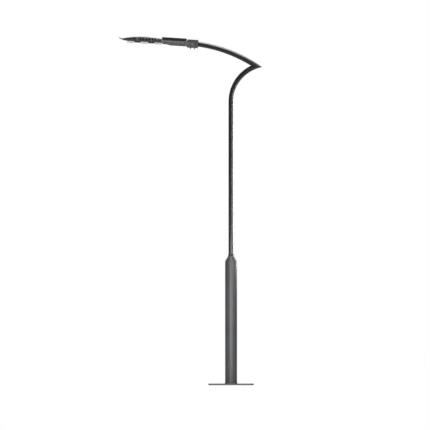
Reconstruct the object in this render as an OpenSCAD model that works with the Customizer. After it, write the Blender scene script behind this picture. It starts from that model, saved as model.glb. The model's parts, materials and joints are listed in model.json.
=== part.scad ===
// Street lamp post: stepped column with a reversed swan-neck arm and a tilting LED luminaire.
// Millimetres. Origin: centre of the base plate's underside, on the column's axis.
// +Z is up, the luminaire reaches out to -X, and the service door faces +Y.

/* [Base plate] */
// Side of the square base plate
plate_w = 530; // [480:10:600]
// Thickness of the base plate
plate_t = 20; // [16:1:30]
// Corner radius of the base plate
plate_corner_r = 25; // [10:1:40]
// Distance between the anchor holes, along X and along Y
anchor_spacing = 400; // [300:10:420]
// Diameter of an anchor hole
anchor_hole_d = 26; // [18:1:36]
// Diameter of the cable entry under the column
cable_entry_d = 100; // [60:5:120]

/* [Column] */
// Outer diameter of the lower post
post_d = 139.7; // [139.7:0.1:140]
// Wall of the lower post
post_wall = 4; // [3:0.5:4]
// Height of the top of the lower post
post_top = 1453; // [1300:1:1600]
// Height of the shoulder cone
cone_h = 68; // [60:1:80]
// Outer diameter of the upper tube
tube_d = 60.3; // [60.3:0.1:60.5]
// Wall of the upper tube
tube_wall = 3.6; // [2.9:0.1:4]
// Length of upper tube that stands inside the lower post
tube_insert = 78; // [60:1:120]

/* [Swan neck and arm] */
// Height where the upper tube starts to bend
neck_z = 3323; // [3200:1:3400]
// Centreline radius of the neck bend
neck_r = 439; // [430:1:445]
// Angle that the neck turns through before the mitre
neck_turn = 70.8; // [70:0.1:72]
// Centreline radius of the arm
arm_r = 1651.5; // [1650:0.5:1653]
// Steepness of the arm at the mitre, in degrees from horizontal
arm_start = 33.5; // [33:0.1:34]
// Steepness of the arm where it enters the luminaire, in degrees
arm_end = 8.25; // [8:0.05:8.5]
// Length of the straight spigot at the end of the arm
spigot_l = 120; // [110:1:122]

/* [Service door] */
// Height of the door's lower edge
door_z = 500; // [400:10:600]
// Height of the door
door_h = 300; // [300:10:340]
// Width of the door
door_w = 82; // [80:1:84]
// Corner radius of the door
door_corner_r = 20; // [10:1:24]

/* [Luminaire] */
// Upward tilt of the luminaire in the stored position, in degrees
lamp_tilt = 3.5; // [3:0.1:4]
// Half width of the luminaire at its widest place
lamp_half_w = 150; // [145:1:160]
// Number of LED modules
module_count = 3; // [3:1:3]
// Length of one light panel along the luminaire
panel_l = 82; // [78:1:82]
// Half width of one light panel
panel_half_w = 98; // [90:1:98]
// Distance from one light panel to the next
panel_pitch = 164; // [164:1:166]
// Height of the highest cooling fin above the tilt axis
fin_crest = 54; // [50:1:58]
// Distance from one pair of cooling fins to the next
fin_pitch = 35; // [33:1:36]
// Thickness of one cooling fin
fin_t = 5.5; // [4:0.5:6]
// Height of the lid's top above the tilt axis
lid_top = 59; // [57:1:60]

/* [Hidden] */
$fn = 96;
arc_fn = 256;
eps = 1;

// Column
post_r = post_d / 2;
post_in_r = post_r - post_wall;
tube_r = tube_d / 2;
tube_in_r = tube_r - tube_wall;
seat_gap = 0.05;
cone_top = post_top + cone_h;
collar_h = 8;
tube_foot = post_top - tube_insert;
ring_t = 10;
ring_lift = 5;

// Neck and arm: two arcs that meet at a mitre
mitre_x = neck_r * (1 - cos(neck_turn));
mitre_z = neck_z + neck_r * sin(neck_turn);
neck_c = [neck_r, neck_z];
arm_c = [mitre_x - arm_r * sin(arm_start), mitre_z - arm_r * cos(arm_start)];
neck_slope = 90 - neck_turn;
mitre_lean = (arm_start - neck_slope) / 2;
spigot_x = arm_c[0] + arm_r * sin(arm_end);
spigot_z = arm_c[1] + arm_r * cos(arm_end);
mitre_over = 8;

// Service door, seen along -Y
frame_t = 5;
frame_in_r = post_in_r - frame_t;
door_mid = door_z + door_h / 2;
door_gap = 1;
door_t = 2.5;
door_in_r = post_r - door_t;
seat_w = 8;
frame_lap = 14;
hinge_off = 5.5;
hinge_r = 5;
hinge_pin_r = 2.5;
knuckle_h = 18;
knuckle_gap = 0.4;
hinge_spread = 90;
leaf_t = 2.5;
leaf_lift = 0.35;
hinge_edge = door_w / 2 + 7;
hinge_a = 90 + asin(hinge_edge / post_r);
hinge_x = (post_r + hinge_off) * cos(hinge_a);
hinge_y = (post_r + hinge_off) * sin(hinge_a);
leaf_l = 18;
leaf_edge = 9.4;
lock_x = 20;
lock_r = 11;
spindle_r = 5;
cam_y = 37;
cam_t = 3.5;
cam_reach = 23;
cam_half_w = 6;
key_h = 4;
lock_out = 68;
strike_x = 34;

// Equipment in the post
board_y = -40;
board_t = 3;
board_half_w = 38;
box_y = board_y + board_t;
box_front = 15;
box_half_w = 32;
box_z = 540;
box_h = 180;
box_wall = 3;
carrier_w = 22;
carrier_h = 46;
carrier_x = -28;
carrier_z = [565, 630];
carrier_slot_gap = 0.4;
board_hole_z = [door_z, door_z + door_h - 60];
board_screw_r = 3;
terminal_x = [-22 : 9 : 5];
terminal_z = box_z - 20;
terminal_r = 2;
earth_x = 22;
earth_z = 500;
cable_r = 4.5;
riser_z = box_z + box_h + 3;
cable_fillet_r = 36;
cable_sides = 10;
route_step = 1;
fillet_step = 10;

// Luminaire, in its own frame: u forward is -X, w up, v across; origin on the tilt axis
pivot_x = -455;
pivot_z = 3998;
u_wide = -560;
u_tip = -863;
u_rear = -62;
half_w_rear = 52;
u_split = -350;
u_front = -815;
wall = 4;
swing_r = 72;
swing_gap = 1;
house_top = 24;
house_bottom = -24;
pan_bottom = -34;
gasket_t = 2;
seal_rear = -86;
lid_front = -358;
lid_end = -61;
lid_slope_u = -80;
lid_lip_w = 48;
lid_axis = [-76, 46];
lid_knuckle_r = 4.5;
lid_pin_r = 2;
ear_v = [-36, 36];
ear_half = 5;
deck_t = 4;
run_clear = 0.6;
pan_screw_u = [-235, -100];
pan_screw_v = 40;
pan_screw_r = 2;
run_gap = 0.05;
fastener_u = -334;
fastener_v = 66;
frame_top = 0;
frame_bottom = -10;
sink_top = 14;
panel_bottom = -34;
web_bottom = -24;
panel_1_u = -724;
panel_wall = 3;
opening_half_l = panel_l / 2 - 4;
opening_half_w = panel_half_w - 5;
sink_gap = 1;
fin_first = -382;
fin_count = 13;
fin_pair_gap = 7;
fin_edge = 8;
crest_u = -571;
nose_foot = -2.5;
rib_crest = 46;
rib_fall = [0.00022, 0.00052];
fin_fall = [0.00031, 0.00055];
rib_t = 5;
rib_v = [-80, -40, 0, 40, 80];
lug_in = 44.3;
lug_t = 7;
lug_r = 16;
lug_root_h = 18;
block_half_w = 44;
block_top = 44;
block_bottom = -47;
block_rear = 60;
flange_rear = 68;
cap_top = 50;
cap_skirt = 27;
tilt_bolt_r = 5;
clamp_u = [-17, 29];
clamp_bolt_r = 5;
clamp_tip = -62;
clamp_bolt_l = 47;
cap_screw_u = [-35, 45];
cap_screw_v = 34;
cap_screw_r = 2.5;
fitter_mouth = 60;

// ---- helpers -------------------------------------------------------------

module tube_ring(r0, r1, z0, z1) {
    difference() {
        translate([0, 0, z0]) cylinder(r = r1, h = z1 - z0);
        translate([0, 0, z0 - eps]) cylinder(r = r0, h = z1 - z0 + 2 * eps);
    }
}

module rounded_square(w, h, r) {
    union() {
        square([w - 2 * r, h], center = true);
        square([w, h - 2 * r], center = true);
        for (sx = [-1, 1], sy = [-1, 1])
            translate([sx * (w / 2 - r), sy * (h / 2 - r)]) circle(r = r);
    }
}

// A rod along +Y from y0 to y1
module rod_y(r, y0, y1) {
    translate([0, y0, 0]) rotate([-90, 0, 0]) cylinder(r = r, h = y1 - y0);
}

// A hexagon bolt head, flats across af, along +Z
module hex_head(af, h) {
    cylinder(d = af / cos(30), h = h, $fn = 6);
}

// The door's outline as a prism through the wall, grown on every side
module door_prism(grow) {
    translate([0, post_r + 10, door_mid])
        rotate([90, 0, 0])
            linear_extrude(height = post_r)
                rounded_square(door_w + 2 * grow, door_h + 2 * grow, door_corner_r + grow);
}

// The luminaire's frame: tilted about Y at the tilt axis
module lamp_frame() {
    translate([pivot_x, 0, pivot_z]) rotate([0, lamp_tilt, 0]) children();
}

// Extrudes a side profile of [u, w] points across the luminaire
module across(half_w) {
    rotate([90, 0, 0]) linear_extrude(height = 2 * half_w, center = true) children();
}

// Half width of the luminaire seen from above, at a place along it
function half_width(u) =
    u < u_wide
    ? lamp_half_w * sqrt(max(0, 1 - pow((u_wide - u) / (u_wide - u_tip), 2)))
    : half_w_rear + (lamp_half_w - half_w_rear) * (1 + cos(180 * (u - u_wide) / (u_rear - u_wide))) / 2;

// Outline from above as one side of points, tip first; the rear ends past the tilt axis
function plan_side(inset) = concat(
    [for (a = [6 : 6 : 90])
        [u_wide - (u_wide - u_tip - inset) * cos(a), (lamp_half_w - inset) * sin(a)]],
    [for (k = [1 : 16])
        let (u = u_wide + (u_rear - u_wide) * k / 16) [u, half_width(u) - inset]]);

function mirrored(points) =
    [for (i = [len(points) - 1 : -1 : 0]) [points[i][0], -points[i][1]]];

// The solid under the outline between two places along the luminaire and two heights
module plan_solid(inset, u0, u1, w0, w1) {
    side = plan_side(inset);
    tip = [[u_tip + inset, 0]];
    intersection() {
        translate([0, 0, w0])
            linear_extrude(height = w1 - w0)
                polygon(concat(tip, side, mirrored(side)));
        translate([u0 + inset, -lamp_half_w, w0 - eps])
            cube([u1 - u0 - 2 * inset, 2 * lamp_half_w, w1 - w0 + 2 * eps]);
    }
}

module swing_cylinder(r) {
    rotate([90, 0, 0]) cylinder(r = r, h = 2 * lamp_half_w, center = true);
}

// Half space on one side of the mitre plane, as a large box; side is 1 above it, -1 below it
module mitre_side(side) {
    translate([mitre_x, 0, mitre_z])
        rotate([0, mitre_lean, 0])
            translate([-arm_r, -post_d, side > 0 ? 0 : -arm_r])
                cube([2 * arm_r, 2 * post_d, arm_r]);
}

// A round bar of the neck's centreline, run on a little past the mitre
module neck_bar(r) {
    translate([neck_r, 0, neck_z])
        rotate([90, 0, 0])
            rotate([0, 0, 180 - neck_turn - mitre_over])
                rotate_extrude(angle = neck_turn + mitre_over, $fn = arc_fn)
                    translate([neck_r, 0]) circle(r = r, $fn = 96);
}

// A round bar of the arm's centreline, run on a little past the mitre
module arm_bar(r) {
    translate([arm_c[0], 0, arm_c[1]])
        rotate([90, 0, 0])
            rotate([0, 0, 90 - arm_start - mitre_over / 2])
                rotate_extrude(angle = arm_start + mitre_over / 2 - arm_end, $fn = arc_fn)
                    translate([arm_r, 0]) circle(r = r, $fn = 96);
}

// The straight spigot's bar, from a little before its start
module spigot_bar(r, before, length) {
    translate([spigot_x, 0, spigot_z])
        rotate([0, -90 + arm_end, 0])
            translate([0, 0, -before]) cylinder(r = r, h = before + length);
}

// ---- column --------------------------------------------------------------

module base_plate() {
    color("dimgray")
        difference() {
            linear_extrude(height = plate_t) rounded_square(plate_w, plate_w, plate_corner_r);
            translate([0, 0, -eps]) cylinder(d = cable_entry_d, h = plate_t + 2 * eps);
            for (sx = [-1, 1], sy = [-1, 1])
                translate([sx * anchor_spacing / 2, sy * anchor_spacing / 2, -eps])
                    cylinder(d = anchor_hole_d, h = plate_t + 2 * eps);
        }
}

module lower_post() {
    color("slategray")
        difference() {
            tube_ring(post_in_r, post_r, plate_t, post_top);
            door_prism(door_gap);
        }
}

// Conical reducer that closes the top of the lower post around the upper tube
module shoulder_cone() {
    bore_r = tube_r + seat_gap;
    top_r = tube_r + post_wall;
    color("slategray")
        rotate_extrude()
            polygon([[post_in_r, post_top], [post_r, post_top], [top_r, cone_top - collar_h],
                     [top_r, cone_top], [bore_r, cone_top], [bore_r, cone_top - 2 * collar_h]]);
}

module centring_ring() {
    foot = tube_foot + ring_lift;
    color("gray") tube_ring(tube_r, post_in_r, foot, foot + ring_t);
}

module pole_tube() {
    color("black") tube_ring(tube_in_r, tube_r, tube_foot, neck_z);
}

module swan_neck() {
    color("black")
        intersection() {
            difference() {
                neck_bar(tube_r);
                neck_bar(tube_in_r);
            }
            mitre_side(-1);
        }
}

module arm_tube() {
    color("black")
        intersection() {
            difference() {
                arm_bar(tube_r);
                arm_bar(tube_in_r);
            }
            mitre_side(1);
        }
}

// Straight length of tube on the arm's end, which the slip fitter clamps
module arm_spigot() {
    color("black")
        difference() {
            spigot_bar(tube_r, 0, spigot_l);
            spigot_bar(tube_in_r, eps, spigot_l + eps);
        }
}

// ---- service door --------------------------------------------------------

module door_frame() {
    color("slategray")
        difference() {
            intersection() {
                tube_ring(frame_in_r, post_in_r, door_z - 50, door_z + door_h + 50);
                door_prism(frame_lap);
            }
            door_prism(-seat_w);
        }
}

module door_gasket() {
    color("black")
        difference() {
            intersection() {
                tube_ring(post_in_r, door_in_r, door_z, door_z + door_h);
                door_prism(-1.5);
            }
            door_prism(1 - seat_w);
        }
}

// Places its children at the lower and the upper door hinge
module at_door_hinges() {
    for (s = [-1, 1]) translate([0, 0, door_mid + s * hinge_spread]) children();
}

// The hinge's own frame: origin on its pin, x straight out of the post, y round it away from the door
module hinge_frame() {
    translate([hinge_x, hinge_y, 0]) rotate([0, 0, hinge_a]) children();
}

// One knuckle with a leaf that runs round the post, y from y0 to y1
module leaf(z0, z1, y0, y1) {
    hinge_frame() {
        translate([0, 0, z0]) cylinder(r = hinge_r, h = z1 - z0);
        translate([-hinge_off - leaf_t, y0, z0]) cube([leaf_t + 3, y1 - y0, z1 - z0]);
    }
}

module post_bar(r) {
    translate([0, 0, -3 * knuckle_h]) cylinder(r = r, h = 6 * knuckle_h);
}

module hinge_bore(r) {
    hinge_frame() translate([0, 0, -3 * knuckle_h]) cylinder(r = r, h = 6 * knuckle_h);
}

module post_hinge_leaves() {
    z1 = knuckle_h / 2 + knuckle_gap;
    z2 = 3 * knuckle_h / 2;
    color("gray")
        at_door_hinges()
            difference() {
                union() {
                    leaf(z1, z2, 0, leaf_l);
                    leaf(-z2, -z1, 0, leaf_l);
                    hinge_frame()
                        translate([-hinge_off - leaf_t, hinge_r + 1, -z1])
                            cube([leaf_t + 3, leaf_l - hinge_r - 1, 2 * z1]);
                }
                post_bar(post_r);
                hinge_bore(hinge_pin_r);
            }
}

module door_hinge_leaves() {
    z1 = knuckle_h / 2;
    color("gray")
        at_door_hinges()
            difference() {
                leaf(-z1, z1, -leaf_l, 0);
                post_bar(post_r);
                intersection() {
                    post_bar(post_r + leaf_lift);
                    hinge_frame() translate([-2 * leaf_l, -leaf_edge, -z1 - eps])
                        cube([2 * leaf_l, 2 * leaf_l, 2 * z1 + 2 * eps]);
                }
                hinge_bore(hinge_pin_r + run_gap);
            }
}

module door_hinge_pins() {
    half = 3 * knuckle_h / 2 + 2;
    color("silver")
        at_door_hinges()
            translate([hinge_x, hinge_y, -half]) cylinder(r = hinge_pin_r, h = 2 * half);
}

module access_door() {
    color("slategray")
        difference() {
            intersection() {
                tube_ring(door_in_r, post_r, door_z - eps, door_z + door_h + eps);
                door_prism(0);
            }
            translate([lock_x, 0, door_mid]) rod_y(lock_r, 0, post_d);
        }
}

module lock_barrel() {
    color("silver")
        translate([lock_x, 0, door_mid])
            difference() {
                rod_y(lock_r, 54, 69.5);
                rod_y(spindle_r + run_gap, 0, post_d);
            }
}

// Triangular key head outside, long shank, and the cam behind the strike
module lock_spindle() {
    color("gold")
        translate([lock_x, 0, door_mid])
            union() {
                rod_y(spindle_r, cam_y, lock_out);
                translate([0, lock_out - 1, 0])
                    rotate([-90, 0, 0]) cylinder(r = spindle_r - 0.2, h = key_h, $fn = 3);
                translate([-cam_half_w, cam_y, -cam_half_w])
                    cube([cam_half_w + cam_reach, cam_t, 2 * cam_half_w]);
            }
}

module lock_strike() {
    cam_clear = 0.5;
    color("gray")
        intersection() {
            translate([strike_x, cam_y + cam_t + cam_clear, door_mid - 20]) cube([20, 4, 40]);
            cylinder(r = frame_in_r, h = post_top);
        }
}

// ---- equipment in the post -----------------------------------------------

module backboard() {
    color("tan")
        difference() {
            translate([-board_half_w, board_y, door_z - 20])
                cube([2 * board_half_w, board_t, door_h - 20]);
            for (z = board_hole_z)
                translate([0, 0, z]) rod_y(board_screw_r, board_y - eps, board_y + board_t + eps);
        }
}

module board_brackets() {
    web_t = 6;
    foot_w = 30;
    foot_h = 24;
    color("gray")
        difference() {
            intersection() {
                union()
                    for (z = board_hole_z) {
                        translate([-foot_w / 2, -post_in_r, z - web_t / 2])
                            cube([foot_w, post_in_r + board_y, web_t]);
                        translate([-foot_w / 2, board_y - web_t, z - foot_h / 2])
                            cube([foot_w, web_t, foot_h]);
                    }
                cylinder(r = post_in_r, h = post_top);
            }
            for (z = board_hole_z)
                translate([0, 0, z]) rod_y(board_screw_r, board_y - 2 * web_t, board_y + eps);
        }
}

module board_screws() {
    front = board_y + board_t;
    color("silver")
        for (z = board_hole_z)
            translate([0, 0, z]) {
                rod_y(board_screw_r, board_y - 11, front);
                rod_y(board_screw_r + 2.5, front, front + 3);
            }
}

module fuse_box() {
    slot = carrier_slot_gap;
    gland_hole_r = 7;
    color("dimgray")
        difference() {
            translate([-box_half_w, box_y, box_z])
                cube([2 * box_half_w, box_front - box_y, box_h]);
            translate([-box_half_w + box_wall, box_y + box_wall, box_z + box_wall])
                cube([2 * (box_half_w - box_wall), box_front - box_y - 2 * box_wall,
                      box_h - 2 * box_wall]);
            for (z = carrier_z)
                translate([carrier_x - slot, box_front - 2 * box_wall, z - slot])
                    cube([carrier_w + 2 * slot, 4 * box_wall, carrier_h + 2 * slot]);
            translate([0, 0, box_z + box_h - 2 * box_wall])
                cylinder(r = gland_hole_r, h = 4 * box_wall);
        }
}

// One plug-in fuse carrier with a finger grip; it slides straight out along +Y
module fuse_carrier(z) {
    color("ivory")
        union() {
            translate([carrier_x, -15, z]) cube([carrier_w, box_front + 20, carrier_h]);
            translate([carrier_x + 7, box_front + 5, z + 8]) cube([8, 8, carrier_h - 16]);
        }
}

module box_gland() {
    top = box_z + box_h;
    color("black")
        difference() {
            union() {
                translate([0, 0, top - box_wall]) cylinder(r = 7, h = box_wall + eps);
                translate([0, 0, top]) cylinder(r = 10, h = 12);
                translate([0, 0, top - box_wall - 3]) cylinder(r = 9, h = 3);
            }
            translate([0, 0, box_z]) cylinder(r = cable_r, h = 2 * box_h);
        }
}

module supply_terminals() {
    color("ivory")
        difference() {
            translate([-28, box_y, terminal_z - 14]) cube([40, 24, 28]);
            for (x = terminal_x)
                translate([x, 0, terminal_z]) rod_y(terminal_r, box_y + 12, 0);
        }
}

module terminal_screws() {
    color("gold")
        for (x = terminal_x)
            translate([x, 0, terminal_z]) rod_y(terminal_r, box_y + 12, box_y + 22);
}

module earth_stud() {
    color("gold")
        translate([earth_x, 0, earth_z]) rod_y(4, box_y, box_y + 22);
}

module earth_nut() {
    color("silver")
        translate([earth_x, box_y, earth_z])
            rotate([-90, 0, 0])
                difference() {
                    hex_head(13, 6.5);
                    translate([0, 0, -eps]) cylinder(r = 4, h = 9);
                }
}

// Route of the cable in the XZ plane: up the column, round the neck, through the mitre in a
// small fillet, along the arm and on to the tilt axis. Each entry is [x, z, direction angle].
fillet_d1 = neck_r + cable_fillet_r;
fillet_d2 = arm_r - cable_fillet_r;
centre_gap = norm(neck_c - arm_c);
fillet_a = (pow(fillet_d1, 2) - pow(fillet_d2, 2) + pow(centre_gap, 2)) / (2 * centre_gap);
fillet_h = sqrt(pow(fillet_d1, 2) - pow(fillet_a, 2));
toward_arm = (arm_c - neck_c) / centre_gap;
fillet_c = neck_c + fillet_a * toward_arm + fillet_h * [-toward_arm[1], toward_arm[0]] * -1;
fillet_in = atan2(fillet_c[1] - neck_c[1], fillet_c[0] - neck_c[0]);
fillet_out = atan2(fillet_c[1] - arm_c[1], fillet_c[0] - arm_c[0]);
function arc_run(c, r, a0, a1, n, side) =
    [for (k = [0 : n])
        let (a = a0 + (a1 - a0) * k / n)
        [c[0] + r * cos(a), c[1] + r * sin(a), a + side * 90]];
cable_route = concat(
    [[0, riser_z, 90], [0, neck_z / 2, 90]],
    arc_run(neck_c, neck_r, 180, fillet_in, 18, -1),
    arc_run(fillet_c, cable_fillet_r, fillet_in - 180 + fillet_step, fillet_out, 8, 1),
    arc_run(arm_c, arm_r, fillet_out + route_step, 90 - arm_end, 10, 1),
    [[pivot_x + 0.5, pivot_z, 180]]);

// A tube of cable_sides sides along a route in the XZ plane
module planar_cable(route, r) {
    n = len(route);
    m = cable_sides;
    points = [for (p = route) for (j = [0 : m - 1])
        let (q = 360 * j / m)
        [p[0] - r * cos(q) * sin(p[2]), r * sin(q), p[1] + r * cos(q) * cos(p[2])]];
    sides = [for (i = [0 : n - 2]) for (j = [0 : m - 1])
        [i * m + j, i * m + (j + 1) % m, (i + 1) * m + (j + 1) % m, (i + 1) * m + j]];
    first = [for (j = [m - 1 : -1 : 0]) j];
    last = [for (j = [0 : m - 1]) (n - 1) * m + j];
    polyhedron(points, concat([first, last], sides));
}

module riser_cable() {
    color("black") planar_cable(cable_route, cable_r);
}

// ---- slip fitter on the end of the arm -------------------------------------

module slip_fitter() {
    flange_lap = 3;
    wire_way = [20, 36];
    relief_u = [34, 47];
    relief_w = 9;
    color("gray")
        difference() {
            lamp_frame()
                difference() {
                    union() {
                        intersection() {
                            translate([-swing_r - eps, -block_half_w, block_bottom])
                                cube([swing_r + eps + block_rear, 2 * block_half_w,
                                      block_top - block_bottom]);
                            union() {
                                swing_cylinder(swing_r);
                                translate([0, -block_half_w, block_bottom])
                                    cube([block_rear, 2 * block_half_w, block_top - block_bottom]);
                            }
                        }
                        translate([block_rear, -block_half_w - flange_lap, block_bottom - 2])
                            cube([flange_rear - block_rear, 2 * (block_half_w + flange_lap),
                                  cap_top - block_bottom + 4]);
                    }
                    translate([-swing_r - eps, -wire_way[0] / 2, -wire_way[1] / 2])
                        cube([swing_r - 11, wire_way[0], wire_way[1]]);
                    for (u = clamp_u)
                        translate([u, 0, block_bottom - eps])
                            cylinder(r = clamp_bolt_r, h = clamp_tip + clamp_bolt_l - block_bottom + 1);
                    for (s = [0, 1]) mirror([0, s, 0]) {
                        rod_y(tilt_bolt_r, 31, block_half_w + eps);
                        for (u = relief_u)
                            translate([u, block_half_w - 6, -30]) cube([relief_w, 10, 50]);
                    }
                    for (u = cap_screw_u, s = [-1, 1])
                        translate([u, s * cap_screw_v, block_top - 12])
                            cylinder(r = cap_screw_r, h = 20);
                }
            spigot_bar(tube_r + seat_gap, fitter_mouth, spigot_l + 3);
        }
}

module fitter_cap() {
    skirt_t = 3;
    color("dimgray")
        lamp_frame()
            difference() {
                intersection() {
                    translate([-swing_r - eps, -block_half_w - skirt_t, cap_skirt])
                        cube([swing_r + eps + block_rear, 2 * (block_half_w + skirt_t),
                              cap_top - cap_skirt]);
                    union() {
                        swing_cylinder(swing_r);
                        translate([0, -lamp_half_w / 2, 0]) cube([block_rear, lamp_half_w, cap_top]);
                    }
                }
                translate([-swing_r - 2 * eps, -block_half_w, block_bottom])
                    cube([swing_r + 3 * eps + block_rear, 2 * block_half_w,
                          block_top - block_bottom]);
                for (u = cap_screw_u, s = [-1, 1])
                    translate([u, s * cap_screw_v, block_top - eps])
                        cylinder(r = cap_screw_r, h = 20);
            }
}

module cap_screws() {
    color("silver")
        lamp_frame()
            for (u = cap_screw_u, s = [-1, 1])
                translate([u, s * cap_screw_v, 0]) {
                    translate([0, 0, block_top - 10])
                        cylinder(r = cap_screw_r, h = cap_top - block_top + 10);
                    translate([0, 0, cap_top]) cylinder(r = cap_screw_r + 2, h = 2);
                }
}

module fitter_seal() {
    color("black")
        difference() {
            lamp_frame()
                translate([flange_rear, 0, 0])
                    rotate([0, 90, 0])
                        translate([-2, 0, 0]) cylinder(r = tube_r + 7, h = 6);
            spigot_bar(tube_r, fitter_mouth, spigot_l);
        }
}

// Two set screws that pinch the arm, each with a lock nut against the casting
module clamp_bolts() {
    nut_h = 7;
    color("silver")
        difference() {
            lamp_frame()
                for (u = clamp_u)
                    translate([u, 0, 0]) {
                        translate([0, 0, block_bottom - nut_h]) hex_head(17, nut_h);
                        translate([0, 0, clamp_tip]) cylinder(r = clamp_bolt_r, h = clamp_bolt_l);
                    }
            spigot_bar(tube_r + seat_gap, fitter_mouth, spigot_l + 3);
        }
}

module tilt_bolts() {
    lug_out = lug_in + lug_t;
    color("silver")
        lamp_frame()
            for (s = [0, 1]) mirror([0, s, 0]) {
                rod_y(tilt_bolt_r, 31.5, lug_out + 3);
                translate([0, lug_out + 2, 0]) rotate([-90, 0, 0]) hex_head(17, 6.4);
            }
}

module tilt_washers() {
    lug_out = lug_in + lug_t;
    color("silver")
        lamp_frame()
            for (s = [0, 1]) mirror([0, s, 0])
                difference() {
                    rod_y(12, lug_out + 0.2, lug_out + 2);
                    rod_y(tilt_bolt_r, 0, lug_out + 10);
                }
}

// ---- luminaire: gear compartment -------------------------------------------

// Tilt lug: a tapered cheek from the rear wall to the tilt axis
module tilt_lug() {
    difference() {
        translate([0, lug_in + lug_t, 0])
            rotate([90, 0, 0])
                linear_extrude(height = lug_t)
                    union() {
                        circle(r = lug_r);
                        polygon([[0, lug_r], [-swing_r - 18, lug_root_h],
                                 [-swing_r - 18, -lug_root_h], [0, -lug_r]]);
                    }
        rod_y(tilt_bolt_r + run_gap, 0, lug_in + 2 * lug_t);
    }
}

// Ears for the lid's hinge, on the deck behind the seal
module lid_ears() {
    difference() {
        for (v = ear_v)
            translate([lid_axis[0], v - ear_half, 0]) {
                translate([-lid_knuckle_r, 0, house_top - deck_t])
                    cube([2 * lid_knuckle_r, 2 * ear_half, lid_axis[1] - house_top + deck_t]);
                translate([0, 0, lid_axis[1]]) rod_y(lid_knuckle_r, 0, 2 * ear_half);
            }
        swing_cylinder(swing_r + swing_gap);
        translate([lid_axis[0], 0, lid_axis[1]]) rod_y(lid_pin_r, -lamp_half_w, lamp_half_w);
    }
}

module gear_housing() {
    floor_w = house_bottom + wall;
    deck_front = seal_rear - 6;
    gland_r = 8;
    ledge = [8.5, 24, 4];
    color("darkgray")
        lamp_frame()
            union() {
                difference() {
                    plan_solid(0, u_split, u_rear, house_bottom, house_top);
                    difference() {
                        plan_solid(wall, u_split, u_rear + wall, floor_w, house_top + eps);
                        swing_cylinder(swing_r + swing_gap + wall);
                        translate([deck_front, -lamp_half_w, house_top - deck_t])
                            cube([u_rear - deck_front, 2 * lamp_half_w, deck_t + 2 * eps]);
                    }
                    swing_cylinder(swing_r + swing_gap);
                    translate([-swing_r - 30, 0, 0]) rotate([0, 90, 0]) cylinder(r = gland_r, h = 40);
                    for (u = pan_screw_u, s = [-1, 1])
                        translate([u, s * pan_screw_v, house_bottom - eps])
                            cylinder(r = pan_screw_r, h = wall + 2 * eps);
                }
                for (s = [0, 1]) mirror([0, s, 0]) {
                    tilt_lug();
                    translate([u_split + wall, fastener_v - ledge[1] / 2, 14]) cube(ledge);
                }
                lid_ears();
            }
}

// Shallow cover under the gear compartment, with a slanted front
module bottom_pan() {
    pan_half_w = 50;
    skin = 3;
    color("dimgray")
        lamp_frame()
            difference() {
                across(pan_half_w)
                    polygon([[-300, house_bottom], [-252, pan_bottom], [-50, pan_bottom],
                             [-50, house_bottom]]);
                swing_cylinder(swing_r + swing_gap);
                across(pan_half_w - skin)
                    polygon([[-285, house_bottom + eps], [-248, pan_bottom + skin],
                             [-84, pan_bottom + skin], [-84, house_bottom + eps]]);
                for (u = pan_screw_u, s = [-1, 1])
                    translate([u, s * pan_screw_v, pan_bottom - eps])
                        cylinder(r = pan_screw_r, h = skin + 2 * eps);
            }
}

module pan_screws() {
    head_h = 2.5;
    color("silver")
        lamp_frame()
            for (u = pan_screw_u, s = [-1, 1])
                translate([u, s * pan_screw_v, pan_bottom]) {
                    cylinder(r = pan_screw_r, h = house_bottom + wall + 1 - pan_bottom);
                    translate([0, 0, -head_h]) cylinder(r = 2 * pan_screw_r, h = head_h);
                }
}

module lid_gasket() {
    inset = 0.5;
    color("black")
        lamp_frame()
            difference() {
                plan_solid(inset, u_split, seal_rear, house_top, house_top + gasket_t);
                plan_solid(inset + 3, u_split, seal_rear, house_top - eps,
                           house_top + gasket_t + eps);
            }
}

module lid_hinge_pin() {
    half = ear_v[1] + ear_half + 2;
    color("silver")
        lamp_frame()
            translate([lid_axis[0], 0, lid_axis[1]]) rod_y(lid_pin_r, -half, half);
}

module driver() {
    color("lightgray")
        lamp_frame()
            translate([-290, -31, house_bottom + wall]) {
                cube([150, 62, 26]);
                translate([-8, 21, 0]) cube([166, 20, 3]);
            }
}

module driver_screws() {
    color("silver")
        lamp_frame()
            for (u = [-294, -136])
                translate([u, 0, house_bottom + wall + 3]) cylinder(r = 3.5, h = 2.5);
}

module surge_protector() {
    color("firebrick")
        lamp_frame()
            translate([-286, 38, house_bottom + wall]) cube([46, 24, 24]);
}

module lamp_terminals() {
    color("ivory")
        lamp_frame()
            translate([-128, -22, house_bottom + wall]) cube([30, 44, 24]);
}

module lamp_gland() {
    face = swing_r + swing_gap + 0.5;
    color("black")
        lamp_frame()
            difference() {
                union() {
                    translate([-face - 9, 0, 0]) rotate([0, 90, 0]) cylinder(r = 8, h = 8);
                    translate([-face - 10, 0, 0]) rotate([0, 90, 0]) cylinder(r = 11, h = 5.5);
                }
                translate([-face - 20, 0, 0]) rotate([0, 90, 0]) cylinder(r = cable_r, h = 40);
            }
}

// The luminaire's own lead, from the tilt axis to its terminals
module lamp_cable() {
    color("black")
        lamp_frame()
            translate([-98, 0, 0]) rotate([0, 90, 0]) cylinder(r = cable_r, h = 98 - 0.5);
}

// ---- luminaire: light engine -------------------------------------------------

function panel_u(i) = panel_1_u + panel_pitch * (i - 1);

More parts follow.
